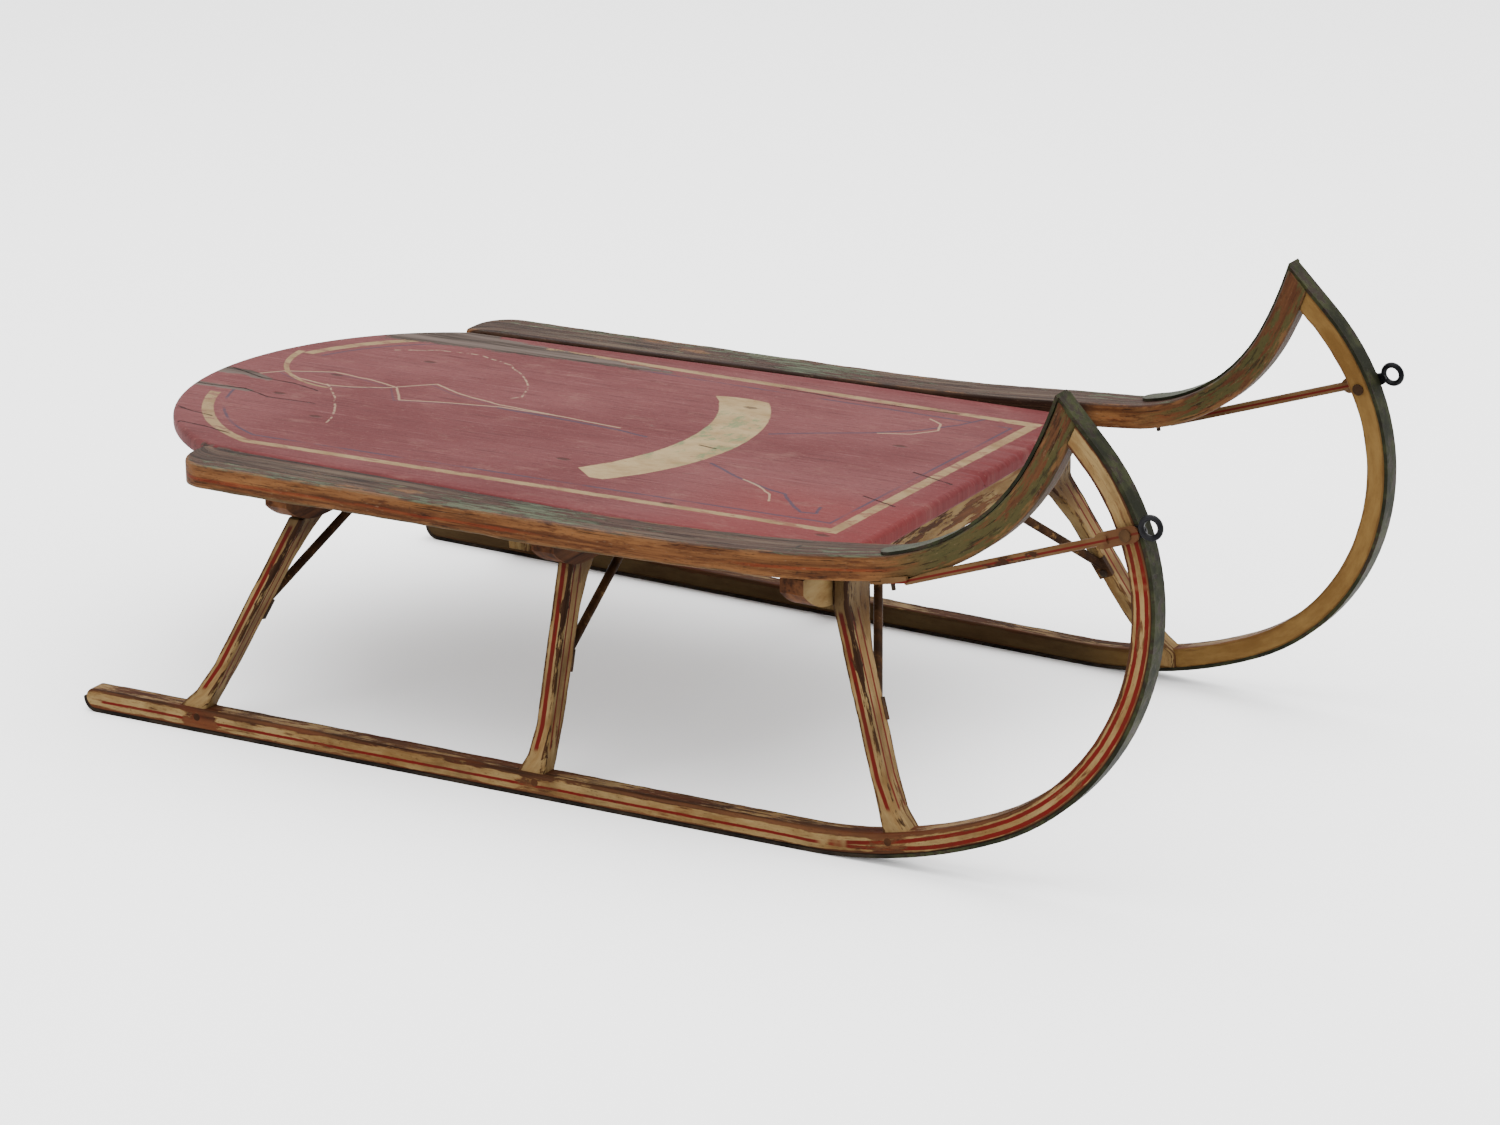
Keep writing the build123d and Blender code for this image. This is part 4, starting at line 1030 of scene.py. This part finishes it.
def postMaterial():
    c, v = postColours, postValues
    b = Board("postPaint")
    flow = b.attribute("flow")
    edge = b.attribute("edge", "Fac")
    s, p, q = b.split(flow)
    cream, cloud = creamPaint(b, flow)
    wood, grain = bareWood(b, flow, c["wood"], (12.0, 260.0, 260.0))
    nx, ny, nz = b.split(b.normal())
    ragged = (b.noise(flow, (160.0, 300.0, 300.0), 4.0) - 0.5) * 0.0008
    outside = p.rise(0.0007, 0.0002)
    fore = abs(nx).rise(0.55, 0.8)
    upTo = (s - v["lineFrom"]).rise(0.0, 0.004) * (v["lineTo"] - s).rise(0.0, 0.004)
    stripe = abs(q + ragged).rise(0.0021, 0.0015) * outside
    frontLines = anyOf(abs(p - at + ragged).rise(0.0012, 0.0007) for at in v["frontLines"])
    stripe = stripe.most(frontLines * fore)
    breaks = b.noise(flow, (18.0, 1.0, 1.0), 3.0, 0.6).rise(0.34, 0.42)
    painted = b.blend(stripe * upTo * breaks, cream, c["line"])
    wear = edge.rise(0.0022, 0.0002) * 0.09 - 0.035 + (s - 0.120).rise(0.0, 0.05) * 0.05
    backward = nx.rise(-0.3, -0.8)
    wear = wear + backward * 0.03
    chip = chips(b, flow, wear, (70.0, 380.0, 380.0), 0.014)
    colour = b.blend(chip, painted, wood)
    fleck = b.noise(flow, (230.0, 900.0, 900.0), 5.0, 0.7).rise(0.60, 0.66)
    colour = b.blend(fleck * 0.5, colour, c["fleck"])
    grime = b.noise(flow, (22.0, 40.0, 40.0), 5.0, 0.6).rise(0.4, 0.7)
    colour = b.blend(grime * 0.45, colour, c["grime"])
    # painted shade on the post's upper end, under the crossbeam and rail
    colour = b.blend((s - 0.130).rise(0.0, 0.03) * 0.6, colour, c["headShade"])
    height = (1.0 - chip) * 0.5 + grain * 0.3 + cloud * 0.2
    return b.finish(colour, chip * 0.14 + 0.48, height, 0.0008, strength=0.8)


railColours = {
    "greyWood": ((42, 31, 27), (86, 66, 55), (112, 95, 79)),
    "brownWood": ((84, 50, 30), (130, 84, 50), (156, 106, 64)), "plum": (96, 62, 52),
    "greenDark": (78, 88, 68), "greenLight": (112, 124, 98), "stain": (100, 60, 36),
    "stainDark": (48, 32, 24), "line": (140, 52, 30), "lowerEdge": (96, 90, 66),
    "frontBrown": (94, 60, 42), "frontGreen": (82, 88, 52), "frontDark": (42, 32, 26),
    "rubbed": (150, 104, 66), "hair": (44, 32, 27), "gap": (48, 33, 28), "fleckDark": (48, 33, 25),
    "fleckLight": (152, 126, 100), "underside": (70, 46, 30),
}


def railMaterial():
    c = railColours
    b = Board("railPaint")
    flow = b.attribute("flow")
    edge = b.attribute("edge", "Fac")
    s, p, q = b.split(flow)
    top = q.rise(0.0078, 0.0092)
    grey, grain = bareWood(b, flow, c["greyWood"], (17.0, 470.0, 470.0))
    brown = bareWood(b, flow, c["brownWood"], (15.0, 360.0, 360.0))[0]
    plum = b.noise(flow, (5.0, 40.0, 40.0), 4.0, 0.6).rise(0.42, 0.7)
    grey = b.blend(plum * 0.5, grey, c["plum"])
    # green paint left in long islands, mostly on top
    green = b.noise(flow, (34.0, 230.0, 230.0), 9.0, 0.7)
    where = b.noise(flow, (5.0, 26.0, 26.0), 3.0, 0.5)
    greenHere = (green * 0.6 + where * 0.4 + top * 0.02).rise(0.565, 0.60)
    greenTone = b.blend(grain.rise(0.35, 0.65), c["greenDark"], c["greenLight"])
    topColour = b.blend(greenHere * 0.75, grey, greenTone)
    # sides: orange-brown, with a worn red-brown line and dark stains; the lower edge is green-grey
    stain = b.noise(flow, (24.0, 190.0, 190.0), 9.0, 0.7)
    sideColour = b.blend(stain.rise(0.46, 0.62), brown, c["stain"])
    sideColour = b.blend(stain.rise(0.60, 0.66) * 0.8, sideColour, c["stainDark"])
    redLine = abs(q + 0.001 + (stain - 0.5) * 0.006).rise(0.0016, 0.0008) * where.rise(0.45, 0.6)
    sideColour = b.blend(redLine * 0.5, sideColour, c["line"])
    lower = q.rise(-0.0058, -0.0082) * (s - 0.50).rise(0.03, -0.03)
    sideColour = b.blend(lower * 0.6, sideColour, c["lowerEdge"])
    front = (s - 0.60).rise(0.0, 0.06)
    sideColour = b.blend(front * 0.7, sideColour, c["frontBrown"])
    greenSide = (green * 0.6 + where * 0.4).rise(0.49, 0.53) * front
    sideColour = b.blend(greenSide * 0.7, sideColour, c["frontGreen"])
    darkSide = b.noise(flow, (40.0, 240.0, 240.0), 8.0, 0.7).rise(0.57, 0.60) * front
    sideColour = b.blend(darkSide * 0.6, sideColour, c["frontDark"])
    colour = b.blend(top, sideColour, topColour)
    rim = edge.rise(0.0030, 0.0004)
    rubbed = chips(b, flow, rim * 0.09 - 0.06, (40.0, 160.0, 160.0), 0.03)
    colour = b.blend(rubbed * 0.6, colour, c["rubbed"])
    hair = b.noise(flow, (15.0, 800.0, 800.0), 4.0, 0.6).rise(0.63, 0.68)
    colour = b.blend(hair * 0.75, colour, c["hair"])
    # painted shade on the inner side behind the front beam, where it faces the board across the gap
    gap = p.rise(0.0150, 0.0172) * (0.585 - s).rise(0.0, 0.02)
    colour = b.blend(gap * 0.85, colour, c["gap"])
    fleck = b.noise(flow, (170.0, 800.0, 800.0), 5.0, 0.7)
    colour = b.blend(fleck.rise(0.58, 0.65) * 0.6, colour, c["fleckDark"])
    colour = b.blend(fleck.rise(0.38, 0.32) * 0.5, colour, c["fleckLight"])
    # painted shade on the rail's underside
    below = q.rise(-0.0088, -0.0094)
    colour = b.blend(below * 0.6, colour, c["underside"])
    height = greenHere * 0.35 * top + grain * 0.5 - hair * 0.6 + stain * 0.2
    return b.finish(colour, 0.46 + stain * 0.16, height, 0.0009, strength=0.85)


beamColours = {
    "wood": ((60, 34, 20), (104, 62, 36), (134, 86, 52)), "swirl": (112, 30, 24), "grime": (48, 30, 20),
}


def beamMaterial():
    c = beamColours
    b = Board("beamPaint")
    place = b.place()
    x, y, z = b.split(place)
    nx, ny, nz = b.split(b.normal())
    turned = b.join(y, x, z)
    wood, grain = bareWood(b, turned, c["wood"], (11.0, 240.0, 240.0))
    u = x - rearX
    fore = nx.rise(0.5, 0.8) * (u - 0.58).rise(0.0, 0.01)
    cream, cloud = creamPaint(b, turned)
    # old cream paint left on the front beam's front side, thickest near its ends
    ends = abs(y).rise(0.02, 0.17)
    chip = chips(b, turned, 0.055 - ends * 0.09, (34.0, 230.0, 230.0), 0.014)
    colour = b.blend(fore * (1.0 - chip), wood, cream)
    swirl = abs(z - 0.186 - y * y * 0.35 + (cloud - 0.5) * 0.012).rise(0.0017, 0.0009) * fore
    colour = b.blend(swirl * 0.75 * ends, colour, c["swirl"])
    dim = b.noise(place, (30.0, 30.0, 30.0), 5.0).rise(0.4, 0.7)
    colour = b.blend(dim * 0.4 * (1.0 - fore * 0.5), colour, c["grime"])
    return b.finish(colour, 0.55, grain * 0.4 + (1.0 - chip) * fore * 0.5, 0.0008, strength=0.8)


# dark, light and paint colour, how much paint is left, roughness and share of metal
ironFinishes = {
    "stayIron": ((52, 34, 22), (92, 62, 38), (140, 104, 62), 0.05, 0.5, 0.2),
    "eyeIron": ((24, 25, 28), (52, 52, 54), (74, 78, 66), -0.06, 0.3, 0.85),
    "rivetIron": ((66, 46, 32), (104, 76, 50), (130, 98, 60), 0.04, 0.45, 0.3),
    "screwIron": ((44, 34, 28), (78, 64, 52), (96, 104, 88), 0.03, 0.5, 0.4),
    "nailIron": ((70, 64, 58), (110, 102, 92), (60, 50, 40), 0.0, 0.35, 0.8),
    "pegWood": ((56, 34, 22), (92, 58, 36), (120, 84, 50), 0.0, 0.6, 0.0),
}


def ironMaterial(name, dark, light, patch, patchShare, rough, metal):
    b = Board(name)
    place = b.place()
    broad = b.noise(place, (28.0, 60.0, 28.0), 7.0, 0.66)
    fine = b.noise(place, (420.0, 420.0, 420.0), 4.0, 0.6)
    colour = b.blend(broad.rise(0.36, 0.66), dark, light)
    painted = broad * 0.45 + b.noise(place, (95.0, 95.0, 95.0), 8.0, 0.7) * 0.55
    painted = painted.rise(0.60 - patchShare, 0.64 - patchShare)
    colour = b.blend(painted, colour, patch)
    height = painted * 0.45 + fine * 0.3 + broad * 0.3
    metallic = (1.0 - painted) * metal
    return b.finish(colour, rough + fine * 0.15, height, 0.0006, metallic=metallic, strength=0.7)


shoeColours = {
    "ironDark": (34, 30, 27), "ironLight": (66, 56, 46), "oliveDark": (40, 42, 28),
    "oliveLight": (76, 80, 50), "strap": (100, 106, 88), "specks": (150, 140, 112),
}


# the shoe is near black at the side, with olive paint on its flat and a green-grey top at the strap
def shoeMaterial():
    c = shoeColours
    b = Board("shoeIron")
    place = b.place()
    x, y, z = b.split(place)
    u = x - rearX
    fine = b.noise(place, (150.0, 150.0, 150.0), 7.0, 0.68)
    broad = b.noise(place, (30.0, 30.0, 30.0), 4.0, 0.6)
    iron = b.blend(broad.rise(0.35, 0.65), c["ironDark"], c["ironLight"])
    front = (u - 0.66).rise(0.0, 0.08)
    left = (fine * 0.6 + broad * 0.4).rise(0.56, 0.50) * front
    olive = b.blend(broad.rise(0.4, 0.65), c["oliveDark"], c["oliveLight"])
    colour = b.blend(left * 0.9, iron, olive)
    nx, ny, nz = b.split(b.normal())
    strap = (0.80 - u).rise(-0.002, 0.002) * nz.rise(0.2, 0.6) * (z - 0.2).rise(0.0, 0.01)
    colour = b.blend(strap * 0.55 * (fine * 0.7 + broad * 0.3).rise(0.62, 0.5), colour, c["strap"])
    specks = chips(b, place, -0.085, (120.0, 120.0, 120.0), 0.015) * front
    colour = b.blend(specks, colour, c["specks"])
    return b.finish(colour, 0.46 + fine * 0.2, fine * 0.5 + left * 0.3, 0.0006, metallic=(1.0 - left) * 0.35,
                    strength=0.7)


# the rod's middle line at its rear end, its slope, and where the front tab starts
braceValues = {"rear": 0.711, "rearZ": 0.2133, "slope": 0.3466, "tabFrom": 0.862}
braceColours = {
    "worn": (100, 64, 40), "line": (112, 34, 26), "chip": (70, 44, 28), "tab": (96, 50, 32),
}


# brace rods keep worn cream paint with a red line along the outer side
def braceMaterial():
    c, v = braceColours, braceValues
    b = Board("braceIron")
    place = b.place()
    x, y, z = b.split(place)
    u = x - rearX
    cream, cloud = creamPaint(b, place)
    cream = b.blend(0.72, cream, c["worn"])
    # the rod's middle line rises from under the rail to the runner
    rodZ = v["rearZ"] + (u - v["rear"]) * v["slope"]
    line = abs(z - rodZ - 0.0002).rise(0.0011, 0.0006)
    chip = chips(b, place, -0.015, (60.0, 160.0, 160.0), 0.02)
    colour = b.blend(line, cream, c["line"])
    colour = b.blend(chip, colour, c["chip"])
    tab = (u - v["tabFrom"]).rise(0.0, 0.004)
    colour = b.blend(tab * 0.55, colour, c["tab"])
    return b.finish(colour, 0.5, (1.0 - chip) * 0.5 + cloud * 0.2, 0.0005, strength=0.7)


print("materials")
boardPaint = deckMaterial()
runnerPaint = runnerMaterial()
postPaint = postMaterial()
railPaint = railMaterial()
beamPaint = beamMaterial()
irons = {"shoeIron": shoeMaterial(), "braceIron": braceMaterial()}
for name, finish in ironFinishes.items():
    irons[name] = ironMaterial(name, *finish)

print("wooden pieces")
buildDeck(boardPaint)
for side in (-1, 1):
    buildRail(side, railPaint)
    buildRunner(side, runnerPaint)
    for name in postValues["foot"]:
        buildPost(name, side, postPaint)
for node in ("crossbeam_rear", "crossbeam_middle", "crossbeam_front"):
    softened(node, 0.0011, beamPaint)
softened("rear_cleat", 0.0008, beamPaint)

print("irons")
# stem of the two nodes, softening of the edges, material and slot
pairedIrons = (
    ("shoe", 0.0005, "shoeIron", "shoe_iron"), ("brace", 0.0005, "braceIron", "brace_iron"),
    ("brace_rivet", 0.0006, "rivetIron", "rivet_iron"), ("tow_eye", 0.0003, "eyeIron", "eye_iron"),
    ("stay_rear", 0.0004, "stayIron", "stay_iron"), ("stay_middle", 0.0004, "stayIron", "stay_iron"),
    ("stay_front", 0.0004, "stayIron", "stay_iron"),
)
for stem, bevel, material, slotName in pairedIrons:
    for side in (-1, 1):
        softened(onSide(stem, side), bevel, irons[material])

fastenings = (
    ("rail_screws", "screwIron", "screw_iron"), ("deck_screws", "screwIron", "screw_iron"),
    ("stay_screws", "screwIron", "screw_iron"), ("brace_screws", "screwIron", "screw_iron"),
    ("shoe_nails", "nailIron", "nail_iron"), ("foot_pegs", "pegWood", "peg_wood"),
)
for node, material, slotName in fastenings:
    softened(node, 0.0003, irons[material])

print("camera and lights")
cameraValues = {"place": (1.8466, -3.0866, 1.3447), "azimuth": 30.558, "elevation": 18.843,
                "roll": -0.739, "lens": 117.92, "sensor": 36.0}
azimuth, elevation, roll = (math.radians(cameraValues[k]) for k in ("azimuth", "elevation", "roll"))
back = Vector((math.sin(azimuth) * math.cos(elevation), -math.cos(azimuth) * math.cos(elevation),
               math.sin(elevation)))
right = (-back).cross(Vector((0, 0, 1))).normalized()
up = right.cross(-back)
turnedRight = right * math.cos(roll) + up * math.sin(roll)
turnedUp = up * math.cos(roll) - right * math.sin(roll)
camera = bpy.data.objects.new("camera", bpy.data.cameras.new("camera"))
camera.matrix_world = Matrix((turnedRight, turnedUp, back)).transposed().to_4x4()
camera.location = cameraValues["place"]
camera.data.lens = cameraValues["lens"]
camera.data.sensor_width = cameraValues["sensor"]
bpy.context.scene.collection.objects.link(camera)
bpy.context.scene.camera = camera


def softLight(name, place, target, size, power):
    light = bpy.data.lights.new(name, "AREA")
    light.shape = "RECTANGLE"
    light.size, light.size_y = size
    light.energy = power
    lamp = bpy.data.objects.new(name, light)
    lamp.location = place
    lamp.rotation_euler = (Vector(target) - Vector(place)).to_track_quat("-Z", "Y").to_euler()
    bpy.context.scene.collection.objects.link(lamp)


# place, target, size and power in watts
lights = {
    "above": ((-0.2, 0.3, 3.0), (0.0, 0.0, 0.0), (5.2, 4.6), 270.0),
    "nearSide": ((-0.6, -2.8, 1.5), (0.0, 0.0, 0.15), (2.0, 1.2), 34.0),
    "frontSide": ((2.6, 0.6, 1.5), (0.2, 0.0, 0.15), (1.4, 1.2), 24.0),
}
for name, values in lights.items():
    softLight(name, *values)

roomValues = {"world": 2.0, "floor": 0.93, "floorRough": 0.9, "floorReach": 30.0, "floorGap": 0.0002}
world = bpy.data.worlds.new("room")
world.use_nodes = True
world.node_tree.nodes["Background"].inputs[0].default_value = (1.0, 1.0, 1.0, 1.0)
world.node_tree.nodes["Background"].inputs[1].default_value = roomValues["world"]
bpy.context.scene.world = world

floorMesh = bpy.data.meshes.new("floor")
reach = roomValues["floorReach"]
floorMesh.from_pydata([(-reach, -reach, 0), (reach, -reach, 0), (reach, reach, 0), (-reach, reach, 0)], [],
                      [(0, 1, 2, 3)])
floorMesh.materials.append(Board("floorWhite").finish((roomValues["floor"],) * 3, roomValues["floorRough"]))
floor = bpy.data.objects.new("floor", floorMesh)
floor.location.z = sizeAtStart[0].z - roomValues["floorGap"]
bpy.context.scene.collection.objects.link(floor)
